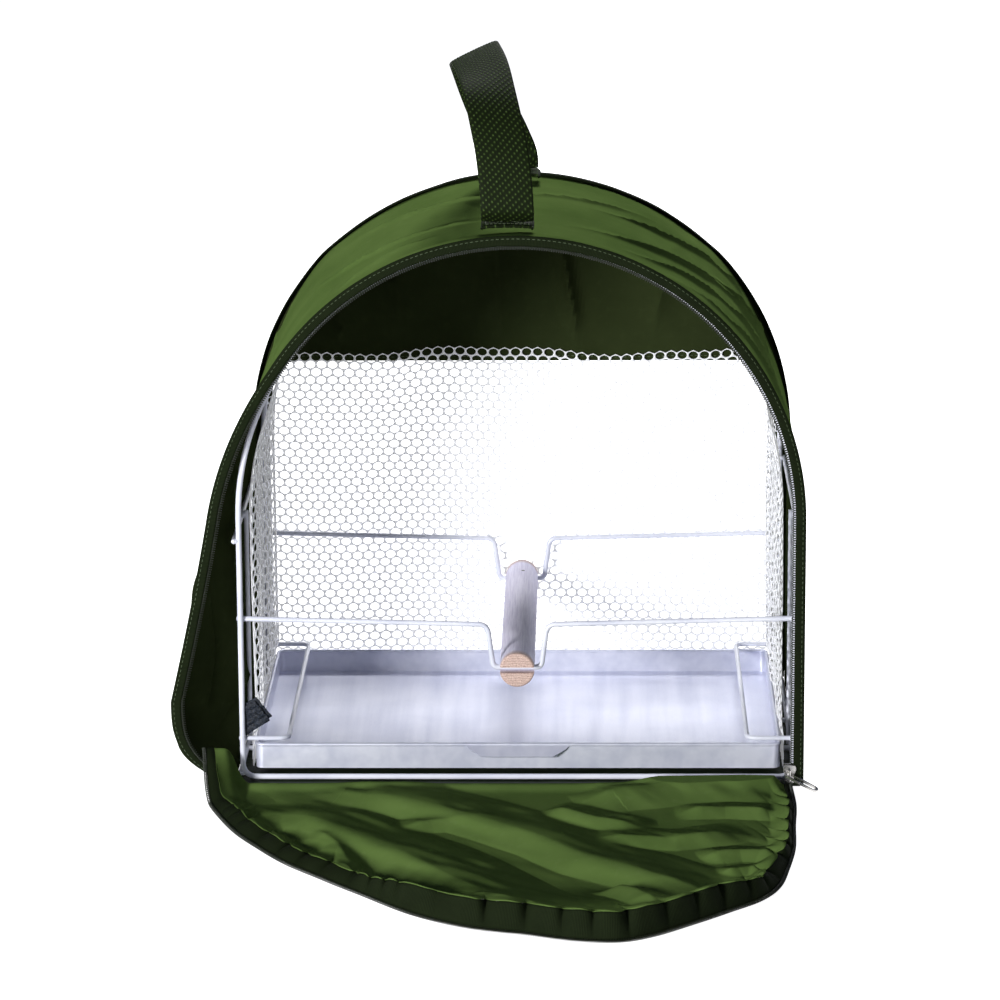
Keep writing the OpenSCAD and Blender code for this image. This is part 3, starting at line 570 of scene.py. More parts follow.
STEP_MM = 2.0
along = np.linspace(0, STRIP_L, int(STRIP_L / STEP_MM))[:, None]
depth = np.linspace(0, 2 * BAG_HALF_DEPTH, int(2 * BAG_HALF_DEPTH / STEP_MM))[None, :]
along, depth = np.broadcast_arrays(along, depth)
x, z, nx, nz = section(along, FABRIC_R)
hold_rail = np.ones_like(x)
for rail_x, rail_z in rail_spots:
    off = np.hypot(x - rail_x, z - rail_z)
    hold_rail = np.minimum(hold_rail, ease((off - 3) / 14))
sway = np.where(x < 0, slack(z), 0) * np.clip(1 - depth / FLARE_DEPTH, 0, 1) ** 1.5
ripple = np.where(x < 0, 0.1 * slack(z), 0) * np.clip(1 - depth / 130, 0, 1) \
    * np.sin(z / 15 + 1.3 * noise(z / 40, depth / 50, 15))
out = lean(along, depth) * hold_rail + ruffle(along, depth) * (0.35 + 0.65 * hold_rail)
out = np.where((out < 0) & (z > 300), np.maximum(out, -3.1), out) + sway + ripple
gusset_points = np.stack([x + out * nx, depth - BAG_HALF_DEPTH, np.maximum(z + out * nz, 0.4)], -1)
# The strip's inner side is the darker copy of the nylon, painted shade for the inside of the bag.
gusset = put_mesh("gusset_fabric", gusset_points.reshape(-1, 3), grid_faces(*x.shape),
                  nylon_inside_painted_shade,
                  uv=np.stack([along, depth], -1).reshape(-1, 2) / 1000)
add_swell(gusset, ruffle(along, depth) + ripple, 2.0)
thicken(gusset, 0.5)
gusset.data.materials.append(nylon)
gusset.modifiers["thickness"].material_offset = 1
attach(gusset, "bag_and_frame")
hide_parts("gusset")


# Back panel. The same nylon, sewn round its edge to the strip and cut away for the window,
# so that it is a wide cap above and a narrow border down each side. It hangs a little slack.

BACK_Y = 119.6
WINDOW_TOP, BORDER = 225.0, 9.0


def half_width(z, radius):
    return np.where(z < SPRING_Z, radius, np.sqrt(np.maximum(radius ** 2
                                                             - np.maximum(z - SPRING_Z, 0) ** 2, 0)))


low_z = 2.4
sides_n, top_n, deep_n = 90, 150, 60
s = np.linspace(0, 1, sides_n, endpoint=False)
t = np.linspace(0, 1, top_n)
inner_side = np.stack([-(half_width(low_z + s * (WINDOW_TOP - low_z), FABRIC_R) - BORDER),
                       low_z + s * (WINDOW_TOP - low_z)], -1)
outer_side = np.stack([-half_width(low_z + s * (WINDOW_TOP - low_z), FABRIC_R - 0.4),
                       low_z + s * (WINDOW_TOP - low_z)], -1)
corner = float(half_width(WINDOW_TOP, FABRIC_R)) - BORDER
lift = np.arcsin((WINDOW_TOP - SPRING_Z) / FABRIC_R)
inner_top = np.stack([-corner + 2 * corner * t, np.full(top_n, WINDOW_TOP)], -1)
angle = np.pi - lift - (np.pi - 2 * lift) * t
crown = between_rails(np.degrees(angle))
rim = FABRIC_R - 0.4 - 2.8 * crown
outer_top = np.stack([rim * np.cos(angle), SPRING_Z + rim * np.sin(angle)], -1)
mirror = np.array([-1, 1])
inner = np.concatenate([inner_side, inner_top, (inner_side * mirror)[::-1]])
outer = np.concatenate([outer_side, outer_top, (outer_side * mirror)[::-1]])
q = np.linspace(0, 1, deep_n)[:, None, None]
flat = inner * (1 - q) + outer * q
px, pz = flat[..., 0], flat[..., 1]
inside = np.clip(np.sin(np.pi * q[..., 0]) ** 0.6, 0, 1) * ease((pz - WINDOW_TOP + 25) / 50)
hang = fold(px, pz, ((24, 350), (28, 300), (36, 255), (38, 228)), 6, 3.0) \
    + fold(px, pz, ((-14, 350), (-16, 290), (-12, 235)), 12, 2.2) \
    + fold(px, pz, ((-70, 335), (-84, 280), (-80, 235)), 14, 2.4) \
    + fold(px, pz, ((88, 325), (96, 280), (88, 235)), 12, 1.8) \
    + fold(px, pz, ((-128, 280), (-120, 250), (-126, 232)), 9, 1.5)
slackness = 1.1 * noise(px / 55, pz / 70, 21) + 0.5 * noise(px / 18, pz / 40, 22)
py = BACK_Y - inside * (0.9 * hang + 0.5 + slackness * 0.7)
back_points = np.stack([px, py, pz], -1)
# The panel's inner side is the darker copy of the nylon, painted shade for the inside of the bag.
back_panel = put_mesh("back_panel_fabric", back_points.reshape(-1, 3),
                      grid_faces(*px.shape), nylon_inside_painted_shade,
                      uv=np.stack([px, pz], -1).reshape(-1, 2) / 1000)
add_swell(back_panel, inside * hang, 2.0)
thicken(back_panel, 0.5)
back_panel.data.materials.append(nylon)
back_panel.modifiers["thickness"].material_offset = 1
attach(back_panel, "bag_and_frame")
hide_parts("back_panel")


# Seam binding. Woven tape folded over the raw edges where the back panel meets the strip.
# It is stiffer than the fabric and stands up as a thin dark line round the back.

TAPE_GREEN, TAPE_DARK = "#1d2513", "#10160a"
RIB_MM = 0.9
tape = material("grosgrain_tape", {"Roughness": 0.85, "Specular IOR Level": 0.05})
tape_at = add(tape, "UVMap", {"uv_map": "cloth"})
ribs = add(tape, "TexWave", {"bands_direction": "X", "Scale": WAVE_STEP * 1000 / RIB_MM,
                             "Distortion": 0.6, "Detail": 1},
           Vector=tape_at.outputs["UV"])
faded = add(tape, "TexNoise", {"Scale": 1000 / 12, "Detail": 4}, Vector=tape_at.outputs["UV"])
both = add(tape, "Mix", {"data_type": "FLOAT", 0: 0.45}, _2=ribs.outputs["Fac"],
           _3=faded.outputs["Fac"])
tint = two_tone(tape, both.outputs[0], (0.25, TAPE_DARK), (0.75, TAPE_GREEN))
relief = add(tape, "Bump", {"Strength": 0.35, "Distance": 0.0003}, Height=ribs.outputs["Fac"])
finish_surface(tape, Base_Color=tint.outputs["Color"], Normal=relief.outputs["Normal"])


def strip(name, inner, outer, coat, thickness, across_n=5, belly=0.0, face=(0, 1, 0)):
    """A ribbon between two lines of points, bellied out along face."""
    inner, outer = np.asarray(inner, float), np.asarray(outer, float)
    q = np.linspace(0, 1, across_n)[None, :, None]
    points = inner[:, None] * (1 - q) + outer[:, None] * q
    points = points + belly * np.sin(np.pi * q) * np.asarray(face, float)
    run = np.concatenate([[0], np.linalg.norm(np.diff(inner, axis=0), axis=1).cumsum()])
    wide = np.linalg.norm(outer - inner, axis=1)
    uv = np.stack(np.broadcast_arrays(run[:, None], wide[:, None] * q[..., 0]), -1)
    piece = put_mesh(name, points.reshape(-1, 3), grid_faces(*points.shape[:2]), coat,
                     uv=uv.reshape(-1, 2) / 1000)
    thicken(piece, thickness)
    return piece


BINDING_W, BINDING_OUT = 7.0, 2.0
run = np.linspace(6, STRIP_L - 6, 560)
bx, bz, bnx, bnz = section(run, FABRIC_R)
turn = np.degrees(np.clip((run - WALL_L) / ARCH_L, 0, 1) * np.pi)
crown = between_rails(turn)
stand = BINDING_OUT - 3.0 * crown + 0.35 * noise(run / 22, 0, 31)
over = np.stack([bx + stand * bnx, np.full_like(bx, 122.4), bz + stand * bnz], -1)
under = np.stack([bx + (stand - BINDING_W) * bnx, np.full_like(bx, 121.2),
                  bz + (stand - BINDING_W) * bnz], -1)
binding_back = strip("rear_binding_tape", under, over, tape, 0.9, belly=0.8)
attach(binding_back, "bag_and_frame")
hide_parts("rear_binding")
lap = np.stack([bx + (stand + 0.3) * bnx, np.full_like(bx, 116.6), bz + (stand + 0.3) * bnz], -1)
binding_top = strip("rear_binding_lap", lap, over + np.stack([0.3 * bnx, 0 * bnx, 0.3 * bnz], -1),
                    tape, 0.7, belly=0.0)
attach(binding_top, "bag_and_frame")


def stitch_line(name, line, coat, pitch=3.2, length=2.3, thick=0.28, body="bag_and_frame"):
    """A row of thread stitches along a line of points."""
    line = np.asarray(line, float)
    steps = np.linalg.norm(np.diff(line, axis=0), axis=1)
    run = np.concatenate([[0], steps.cumsum()])
    at = np.arange(pitch / 2, run[-1], pitch)
    middle = np.stack([np.interp(at, run, line[:, k]) for k in range(3)], -1)
    ahead = np.stack([np.interp(at + 0.5, run, line[:, k]) for k in range(3)], -1) - middle
    ahead[np.linalg.norm(ahead, axis=1) < 1e-6] = (1, 0, 0)
    beads = [(m, a, length / 2, thick) for m, a in zip(middle, ahead)]
    piece = put_beads(name, beads, coat, rings=4, sides=5)
    if body:
        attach(piece, body)
    return piece


THREAD_GREEN = "#3a4b28"
thread = material("polyester_thread", {"Base Color": linear(THREAD_GREEN), "Roughness": 0.6,
                                       "Sheen Weight": 0.3})
stitch_line("binding_stitches", np.stack([bx + (stand - 5.4) * bnx, np.full_like(bx, 122.2),
                                          bz + (stand - 5.4) * bnz], -1), thread)


# Floor panel. Coated nylon over a thin stiffener, sewn to the foot of the strip. It shows only as a
# dark, faintly creased strip under the tray, with painted highlight in pale streaks on the crests of
# its creases.

FLOOR_DARK, FLOOR_PAINTED_HIGHLIGHT = "#1d2618", "#2b3524"
floor_cloth = material("coated_floor_nylon", {"Roughness": 0.38, "Specular IOR Level": 0.15})
place = add(floor_cloth, "TexCoord", {})
drawn_out = add(floor_cloth, "Mapping", {"Scale": (0.3, 1, 1)}, Vector=place.outputs["Object"])
crumple = add(floor_cloth, "TexNoise", {"Scale": 1000 / 9, "Detail": 4},
              Vector=drawn_out.outputs["Vector"])
# The crumple's raised crests are painted lighter, as painted highlight.
tint = two_tone(floor_cloth, crumple.outputs["Fac"], (0.35, FLOOR_DARK), (0.7, FLOOR_PAINTED_HIGHLIGHT))
relief = add(floor_cloth, "Bump", {"Strength": 0.7, "Distance": 0.001},
             Height=crumple.outputs["Fac"])
finish_surface(floor_cloth, Base_Color=tint.outputs["Color"], Normal=relief.outputs["Normal"])
u = np.linspace(-FABRIC_R + 0.6, FABRIC_R - 0.6, 150)[:, None]
v = np.linspace(-BAG_HALF_DEPTH, BAG_HALF_DEPTH, 100)[None, :]
u, v = np.broadcast_arrays(u, v)
inset = ease((FABRIC_R - np.abs(u)) / 12) * ease((BAG_HALF_DEPTH - np.abs(v)) / 10)
clear = ease((np.abs(np.abs(v) - HOOP_Y) - 2.2) / 4)
puff = 0.45 * inset * clear * np.clip(noise(u / 34, v / 16, 41) + noise(u / 12, v / 9, 42), -1, 1)
floor_top = np.stack([u, v, 1.45 + puff], -1)
floor_low = np.stack([u, v, np.full_like(u, 0.05)], -1)
n_u, n_v = u.shape
rim_index = np.concatenate([np.arange(n_v), np.arange(1, n_u) * n_v + n_v - 1,
                            (n_u - 1) * n_v + np.arange(n_v - 2, -1, -1),
                            np.arange(n_u - 2, 0, -1) * n_v])
after = np.roll(rim_index, -1)
half_count = n_u * n_v
floor_faces = np.concatenate([grid_faces(n_u, n_v), grid_faces(n_u, n_v, half_count)[:, ::-1],
                              np.stack([rim_index, rim_index + half_count,
                                        after + half_count, after], -1)])
bag_floor = put_mesh("bag_floor_panel", np.concatenate([floor_top.reshape(-1, 3),
                                                        floor_low.reshape(-1, 3)]),
                     floor_faces, floor_cloth)
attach(bag_floor, "bag_and_frame")
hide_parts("bag_floor")


# Nets. White warp-knitted polyester with six-sided holes, 7.5 mm apart along a row and
# squashed by the way it hangs. One closes the back window, one lines each side.

NET_PITCH, NET_ROW, NET_STRAND = 7.5, 5.2, 1.05
# more than the largest of a point's whole-number places, so that two make one key
KEY_STEP = 1000003
# painted light: the yarn glows a little by itself, standing in for the light that comes through it
# from behind
YARN_PAINTED_GLOW = 0.17
NET_WHITE, NET_SHADE = "#fbfcff", "#e4e8f8"
net_yarn = material("knitted_polyester_net", {"Roughness": 0.7, "Subsurface Weight": 0.6,
                                              "Subsurface Radius": (1, 1, 1),
                                              "Subsurface Scale": 0.002,
                                              "Emission Color": (1, 1, 1, 1),
                                              "Emission Strength": YARN_PAINTED_GLOW})
place = add(net_yarn, "TexCoord", {})
yarns = add(net_yarn, "TexNoise", {"Scale": 1000 / 0.5, "Detail": 2},
            Vector=place.outputs["Object"])
tint = two_tone(net_yarn, yarns.outputs["Fac"], (0.36, NET_SHADE), (0.6, NET_WHITE))
relief = add(net_yarn, "Bump", {"Strength": 0.4, "Distance": 0.0003},
             Height=yarns.outputs["Fac"])
finish_surface(net_yarn, Base_Color=tint.outputs["Color"], Normal=relief.outputs["Normal"])


def hex_net(name, left, right, low, high, keep, place, coat):
    """Net of six-sided cells between two widths and two heights. keep says which cells
    are there, and place turns flat points into their place on the carrier."""
    rows = np.arange(int((high - low) / NET_ROW) + 1)
    cols = np.arange(int((right - left) / NET_PITCH) + 2)
    c, r = np.meshgrid(cols, rows)
    centre = np.stack([left + (c - 0.5 * (r % 2)) * NET_PITCH, low + r * NET_ROW], -1).reshape(-1, 2)
    centre = centre[keep(centre[:, 0], centre[:, 1])]
    # corners of a cell, and the rounded hole inside them
    point_up = NET_ROW * 2 / 3
    corner = np.array([(0, point_up), (NET_PITCH / 2, point_up / 2),
                       (NET_PITCH / 2, -point_up / 2), (0, -point_up),
                       (-NET_PITCH / 2, -point_up / 2), (-NET_PITCH / 2, point_up / 2)])
    turn = np.radians(90 - 30 * np.arange(12))
    hole = np.stack([(NET_PITCH / 2 - NET_STRAND / 2) * np.cos(turn),
                     (point_up * 0.93 - NET_STRAND * 0.55) * np.sin(turn)], -1)
    middle = (corner + np.roll(corner, -1, 0)) / 2
    rim_points = np.stack([corner, middle], 1).reshape(-1, 2)
    shape = np.concatenate([rim_points, hole])
    cells = centre[:, None] + shape[None]
    flat_points = cells.reshape(-1, 2)
    key = np.round(flat_points * 50).astype(np.int64)
    _, first, index = np.unique(key[:, 0] * KEY_STEP + key[:, 1], return_index=True,
                                return_inverse=True)
    k = np.arange(12)
    ring = np.stack([k, (k + 1) % 12, 12 + (k + 1) % 12, 12 + k], -1)
    faces = (np.arange(len(centre))[:, None, None] * 24 + ring[None]).reshape(-1, 4)
    points = place(flat_points[first])
    piece = put_mesh(name, points, index.ravel()[faces], coat)
    thicken(piece, 0.6)
    return piece


NET_Y = 118.2


def window_cells(x, z):
    half = half_width(z, FABRIC_R) - BORDER + 5
    return (np.abs(x) < half - 2) & (z < WINDOW_TOP + 7)


def hang_window(points):
    x, z = points[:, 0], points[:, 1]
    free = ease((z - 4) / 20) * ease((half_width(z, FABRIC_R) - BORDER - np.abs(x)) / 16)
    out = 0.9 * noise(x / 60, z / 80, 51) + 0.35 * noise(x / 22, z / 30, 52)
    back = free * ease((WINDOW_TOP - z) / 12)
    perch_end = np.exp(-(np.hypot(x, z - 75.5) / 26) ** 2)
    lap = ease((z - WINDOW_TOP + 6) / 10)
    y = NET_Y + 0.6 * back * out - 0.9 * lap + 0.15 * perch_end
    slip = 0.5 * noise(x / 15, z / 15, 53)
    sag = 1.6 * noise(x / 70, z / 260, 54) * back
    # the cut top edge rises and falls as it was sewn
    sewn = ease((z - 150) / 80) * (2.6 * np.sin(x / 31 + 2.4) + 1.0 * np.sin(x / 12.0))
    return np.stack([x + slip * back, y, z + sag + 0.4 * slip + sewn], -1)


back_net = hex_net("back_window_net", -172.5, 172.5, 6.0, 240.0, window_cells, hang_window,
                   net_yarn)
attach(back_net, "bag_and_frame")
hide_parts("back_net")
window_sew = np.stack([np.linspace(-corner + 2, corner - 2, 200),
                       np.full(200, 117.9), WINDOW_TOP + 3.2
                       + 0.5 * np.sin(np.linspace(0, 24, 200))], -1)
stitch_line("window_stitches", window_sew, thread)

SIDE_NET_X, SIDE_NET_TOP = 170.6, 236.0
for side, name in ((-1, "left"), (1, "right")):
    def side_cells(y, z):
        return (np.abs(y) < 105) & (z < SIDE_NET_TOP - 6 + 3 * np.sin(y / 17))

    def hang_side(points, side=side):
        y, z = points[:, 0], points[:, 1]
        arch = SIDE_NET_X - 3.0 - np.sqrt(np.maximum((SIDE_NET_X - 3.0) ** 2
                                                     - np.maximum(z - SPRING_Z, 0) ** 2, 1))
        loose = ease((z - 12) / 30) * ease((SIDE_NET_TOP - z) / 60)
        pleat = 2.1 * np.sin(y / 6.3 + 1.2 * noise(y / 40, z / 90, 60 + side)) \
            + 1.6 * noise(y / 11, z / 130, 62 + side)
        x = SIDE_NET_X - arch - 1.5 - loose * (2.0 + 0.75 * pleat)
        inside_tray = ease((40 - z) / 12)
        x = np.maximum(x, 169.3 * inside_tray + (1 - inside_tray) * 150)
        return np.stack([side * x, y, z], -1)

    net = hex_net("side_net_" + name + "_lining", -105, 105, 9.6, SIDE_NET_TOP, side_cells,
                  hang_side, net_yarn)
    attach(net, "bag_and_frame")
    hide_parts("side_net_" + name)


# Body zip. Woven tape sewn to the doorway's edge, with a nylon coil along its inner side.
# The tape stands as a flat dark band round the opening.

ZIP_W, ZIP_OUT, ZIP_Y = 6.5, 1.3, -121.7
run = np.linspace(1.5, STRIP_L - 1.5, 640)
ox, oz, *_ = front_edge(run, ZIP_OUT)
ix, iz, *_ = front_edge(run, ZIP_OUT - ZIP_W)
ripple = 0.3 * noise(run / 16, 0, 71)
low = np.maximum(iz, 1.0)
zip_outer = np.stack([ox, ZIP_Y + ripple, np.maximum(oz, 0.8)], -1)
zip_inner = np.stack([ix, ZIP_Y - 0.5 + ripple, low], -1)
body_tape = strip("zip_tape_body_woven", zip_inner, zip_outer, tape, 0.7, across_n=6, belly=-0.3)
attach(body_tape, "bag_and_frame")
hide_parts("zip_tape_body")
stitch_line("zip_tape_body_stitches", zip_inner * 0.3 + zip_outer * 0.7 - (0, 0.55, 0), thread,
            thick=0.24)

COIL_DARK = "#1a2112"
coil_nylon = material("nylon_zip_coil", {"Base Color": linear(COIL_DARK), "Roughness": 0.42})
COIL_PITCH, COIL_R, COIL_WIRE = 1.5, 1.0, 0.36


def coil_along(name, line, out_dir, up_dir, body):
    """A zip coil: one strand wound along a line, with its flat side against the tape."""
    line = np.asarray(line, float)
    steps = np.linalg.norm(np.diff(line, axis=0), axis=1)
    run = np.concatenate([[0], steps.cumsum()])
    turns = int(run[-1] / COIL_PITCH)
    t = np.linspace(0, 1, turns * 9)
    at = np.stack([np.interp(t * run[-1], run, line[:, k]) for k in range(3)], -1)
    o = np.stack([np.interp(t * run[-1], run, out_dir[:, k]) for k in range(3)], -1)
    w = np.stack([np.interp(t * run[-1], run, up_dir[:, k]) for k in range(3)], -1)
    spin = 2 * np.pi * turns * t
    path = at + COIL_R * (np.cos(spin)[:, None] * o + 0.85 * np.sin(spin)[:, None] * w)
    points = sweep(path, round_ring(COIL_WIRE, 5), side=(w + 0.2))
    piece = put_mesh(name, points.reshape(-1, 3), tube_faces(len(path), 5), coil_nylon)
    if body:
        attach(piece, body)
    return piece


cx, cz, cnx, cnz = front_edge(run, ZIP_OUT - ZIP_W - 0.9)
coil_line = np.stack([cx, np.full_like(cx, ZIP_Y), np.maximum(cz, 1.9)], -1)
body_coil = coil_along("zip_coil_body", coil_line, np.stack([cnx, 0 * cnx, cnz], -1),
                       np.broadcast_to((0.0, 1.0, 0.0), coil_line.shape), "bag_and_frame")
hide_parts("zip_teeth_body")


# Slider and pull. Nickel-plated zinc die castings: a slider body with its bridge, and a
# looped pull. The plating is bright with fine handling marks, and the edges are rounded.

NICKEL_GREY = "#cfcdca"
nickel = material("nickel_plated_zinc", {"Base Color": linear(NICKEL_GREY), "Metallic": 1.0,
                                         "Roughness": 0.2})
place = add(nickel, "TexCoord", {})
marks = add(nickel, "TexNoise", {"Scale": 1000 / 1.5, "Detail": 5}, Vector=place.outputs["Object"])
shine = add(nickel, "MapRange", {"To Min": 0.14, "To Max": 0.34}, Value=marks.outputs["Fac"])
finish_surface(nickel, Roughness=shine.outputs[0])
for name, edge in (("zip_slider", 0.25), ("zip_pull", 0.45)):
    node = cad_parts[name]
    node.data.materials.clear()
    node.data.materials.append(nickel)
    rounding = node.modifiers.new("rounding", "BEVEL")
    rounding.width = edge / 1000
    rounding.segments = 3
    rounding.limit_method = "ANGLE"
    rounding.harden_normals = False


# Front panel. Nylon like the bag's, cut as a D and unzipped. It lies forward from its seam
# at the foot of the doorway, puffed up by its own stiffness, with long folds across it.

FLAP_Y, HINGE_LEFT, HINGE_RIGHT = -122.7, 198.3, 173.3
HEM_W, EDGE_H = 12.5, 16.0
TRAY_CLEAR = 8.4
RISE_FROM, RISE_RUN = 197.3, 75.0
CORNER_H = 24.0
# (x, s) points of the outline on the table, s forward of the hinge, from the left end
FLAP_OUTLINE = ((-198, 0), (-192, 38), (-174, 90), (-155, 126), (-136, 156), (-112, 184),
                (-89, 210), (-56, 247), (-23, 270), (10, 281), (37, 291), (62, 293), (82, 283),
                (103, 264), (127, 240), (145, 221), (157, 197), (164, 163), (169, 113),
                (172, 60), (172, 0))


def smooth_route(points, step):
    """A smooth line through points, cut into even steps."""
    p = np.asarray(points, float)
    p = np.concatenate([[2 * p[0] - p[1]], p, [2 * p[-1] - p[-2]]])
    t = np.linspace(0, 1, 40, endpoint=False)[:, None]
    parts = [0.5 * (2 * b + (c - a) * t + (2 * a - 5 * b + 4 * c - d) * t ** 2
                    + (3 * b - a - 3 * c + d) * t ** 3)
             for a, b, c, d in zip(p[:-3], p[1:-2], p[2:-1], p[3:])]
    line = np.concatenate(parts + [p[-2:-1]])
    run = np.concatenate([[0], np.linalg.norm(np.diff(line, axis=0), axis=1).cumsum()])
    at = np.linspace(0, run[-1], max(2, int(run[-1] / step)))
    return np.stack([np.interp(at, run, line[:, k]) for k in range(3)], -1)


outline = smooth_route([(x, s, 0) for x, s in FLAP_OUTLINE], 1.2)
edge_x, edge_s = outline[:, 0], outline[:, 1]
run_edge = np.concatenate([[0], np.hypot(np.diff(edge_x), np.diff(edge_s)).cumsum()])
edge_x = edge_x + 0.9 * noise(run_edge / 45, 0, 88) * ease(run_edge / 80)
dx, ds = np.gradient(edge_x), np.gradient(edge_s)
SOFTEN = np.hanning(31) / np.hanning(31).sum()
dx, ds = (np.convolve(np.pad(d, 15, "edge"), SOFTEN, "valid") for d in (dx, ds))
size = np.hypot(dx, ds)
out_x, out_s = -ds / size, dx / size

FLAP_FOLDS = (
    # (x, s) points of the crest in mm, width on its near side and on its far side, height
    (((-176, 44), (-150, 66), (-122, 86), (-97, 118), (-70, 148), (-44, 184), (-19, 222),
      (8, 268)), 24, 46, 1.0),
    (((-150, 16), (-110, 24), (-70, 45), (-38, 69), (-13, 91), (19, 124), (45, 159),
      (71, 179), (102, 203), (134, 232)), 22, 44, 1.0),
    (((-78, 94), (-53, 84), (-18, 79), (6, 92)), 13, 20, 0.6),
    (((14, 52), (25, 58), (51, 79), (84, 94)), 14, 24, 0.7),
    (((40, 112), (71, 113), (98, 117), (146, 100)), 14, 26, 0.7),
    (((34, 42), (59, 28), (100, 15), (134, 8), (168, 6)), 26, 20, 1.0),
    (((56, 204), (70, 226), (86, 262)), 14, 20, 0.8),
    (((-30, 232), (-12, 246), (10, 284)), 10, 18, 0.6),
    (((-128, 96), (-108, 130), (-92, 192)), 16, 14, 0.8),
    (((-196, 66), (-164, 96), (-134, 146)), 9, 12, 0.6),
    (((98, 60), (130, 56), (168, 62)), 12, 20, 0.6),
    (((110, 148), (136, 140), (166, 142)), 12, 18, 0.6),
    (((120, 178), (142, 170), (164, 168)), 9, 14, 0.5),
)


def crest(x, s, line, near, far, share):
    """A fold that falls steeply on its near side and gently on its far side."""
    found, along, total, side = near_line(x, s, line)
    fade = ease(along / (0.25 * total)) * ease((total - along) / (0.25 * total))
    wide = np.where(side > 0, near, far)
    return share * fade * np.clip(1.08 - np.hypot(found / wide, 0.08), 0, 1)


def flap_height(x, s):
    """Height of the puffed fabric over the table. It stays under the tray as it slides out."""
    folds = sum(crest(x, s, *one) ** 3 for one in FLAP_FOLDS) ** (1 / 3)
    slant, run = (x + s) / 1.41, (s - x) / 1.41
    wrinkle = 0.13 * noise(slant / 46, run / 17, 81) + 0.08 * noise(slant / 21, run / 9, 82)
    folds = np.maximum(folds + wrinkle * (0.35 + folds), 0)
    rise = ease((s - RISE_FROM) / RISE_RUN)
    height = (TRAY_CLEAR - 0.9) * folds / (1 + folds ** 8) ** 0.125
    near_right = ease((x - 40) / 120)
    level = 0.9 + height * ease((s + 4 + 8 * near_right) / 14) + (EDGE_H - 5.0) * rise
    level = level + 2.4 * np.exp(-((s - 4) / 7) ** 2) * ease(s / 3)
    level = level + 6.5 * near_right * np.exp(-((s - 5) / 9) ** 2) * ease(s / 3)
    return level + CORNER_H * ease((-170 - x) / 18) * (1 - ease(s / 44))


# Lobes of fabric between the gathering stitches stand over the hem, with a notch between
LOBE = 24.0
lobe_at = run_edge / LOBE + 0.9 * noise(run_edge / 47, 0, 83)
lobe = np.abs(np.sin(np.pi * lobe_at))
gathered = ease((run_edge - 40) / 50) * ease((run_edge[-1] - run_edge - 10) / 40)
rise_edge = ease((edge_s - RISE_FROM + 20) / RISE_RUN)
corner = CORNER_H * ease((-150 - edge_x) / 20) * (1 - ease(edge_s / 44))
inner_h = 1.6 + 5.6 * ease(edge_s / 70) * (1 - rise_edge) + EDGE_H * rise_edge + corner
right_side = ease((edge_x - 120) / 30) * (1 - ease((edge_s - 120) / 90))
hem_run = np.sqrt(np.maximum(16, HEM_W ** 2 - (inner_h - corner) ** 2))
hem_run = hem_run * (1 - right_side) + 3.4 * right_side
hem_run = hem_run * (0.4 + 0.6 * ease(run_edge / 90))
notch = (1 - lobe) ** 2.2 * (0.65 + 0.5 * noise(run_edge / 31, 0, 89))

# The panel is a fan of lines from points along the hinge out to its gathered edge, which
# is set back from the hem's outer edge along them
FLAP_ROWS = 190
base_x = np.interp(run_edge / run_edge[-1], (0, 0.5, 1), (-HINGE_LEFT + 14, -20, HINGE_RIGHT - 2))
hem_x, hem_s = edge_x - hem_run * out_x, edge_s - hem_run * out_s
back_by = gathered * (6.5 * notch - 2.6 * lobe) + 0.8 * noise(run_edge / 9, 0, 84)
fan_run = np.hypot(hem_x - base_x, hem_s)
hem_x, hem_s = (hem_x + back_by * (base_x - hem_x) / fan_run, hem_s - back_by * hem_s / fan_run)
q = (np.linspace(0, 1, FLAP_ROWS) ** 0.82)[:, None]
fan_x = base_x * (1 - q) + hem_x * q
fan_s = hem_s * q
dist = (1 - q) * np.hypot(hem_x - base_x, hem_s)[None, :]
height = flap_height(fan_x, fan_s)
edge_level = inner_h + gathered * (3.4 * lobe ** 0.6 - 2.2)
join = ease(dist / 26)
height = height * join + edge_level[None, :] * (1 - join)
pull_in = 1.3 * (1 - lobe ** 2) ** 3 * gathered
height = height - pull_in[None, :] * np.exp(-dist / 13) * ease(dist / 4)
height = height + (0.5 * gathered * noise(run_edge / 15, 0, 85))[None, :] * np.exp(-dist / 12)
limit = np.where((fan_s < RISE_FROM) & (np.abs(fan_x) < 169), TRAY_CLEAR, 99)
height = np.clip(height, 0.5, limit)
flap_points = np.stack([fan_x, FLAP_Y - fan_s, height], -1)
flap_fabric = put_mesh("front_panel_fabric", flap_points.reshape(-1, 3),
                       grid_faces(*fan_x.shape)[:, ::-1], nylon,
                       uv=np.stack([fan_x, fan_s], -1).reshape(-1, 2) / 1000)
add_swell(flap_fabric, height, 1.1)
thicken(flap_fabric, 0.5)
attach(flap_fabric, "front_panel")
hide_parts("flap_panel")

# The hem falls from under the gathered edge to the table, with the zip's coil outside.
TUCK = 0.7
hem_top = np.stack([hem_x - TUCK * out_x, FLAP_Y - (hem_s - TUCK * out_s),
                    np.maximum(height[-1] - 0.5, 0.8)], -1)
hem_foot = np.stack([edge_x, FLAP_Y - edge_s, 0.7 + corner], -1)
flap_hem = strip("zip_tape_flap_woven", hem_top, hem_foot, tape, 0.7, across_n=9, belly=1.3,
                 face=(0, 0, 1))
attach(flap_hem, "front_panel")
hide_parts("zip_tape_flap")
coil_line = np.stack([edge_x + 1.0 * out_x, FLAP_Y - edge_s - 1.0 * out_s, 1.4 + corner], -1)
flap_coil = coil_along("zip_coil_flap", coil_line, np.stack([out_x, -out_s, 0 * out_x], -1),
                       np.broadcast_to((0.0, 0.0, 1.0), coil_line.shape), "front_panel")
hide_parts("zip_teeth_flap")
# Each of these pieces gets a mesh of its own
for piece in (flap_fabric, flap_hem, flap_coil):
    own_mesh(piece)


# Handle. A loop of 33 mm polypropylene webbing, 2.2 mm thick, woven in a coarse herringbone.
# It stands up from its two stitched ends and leans to the left.

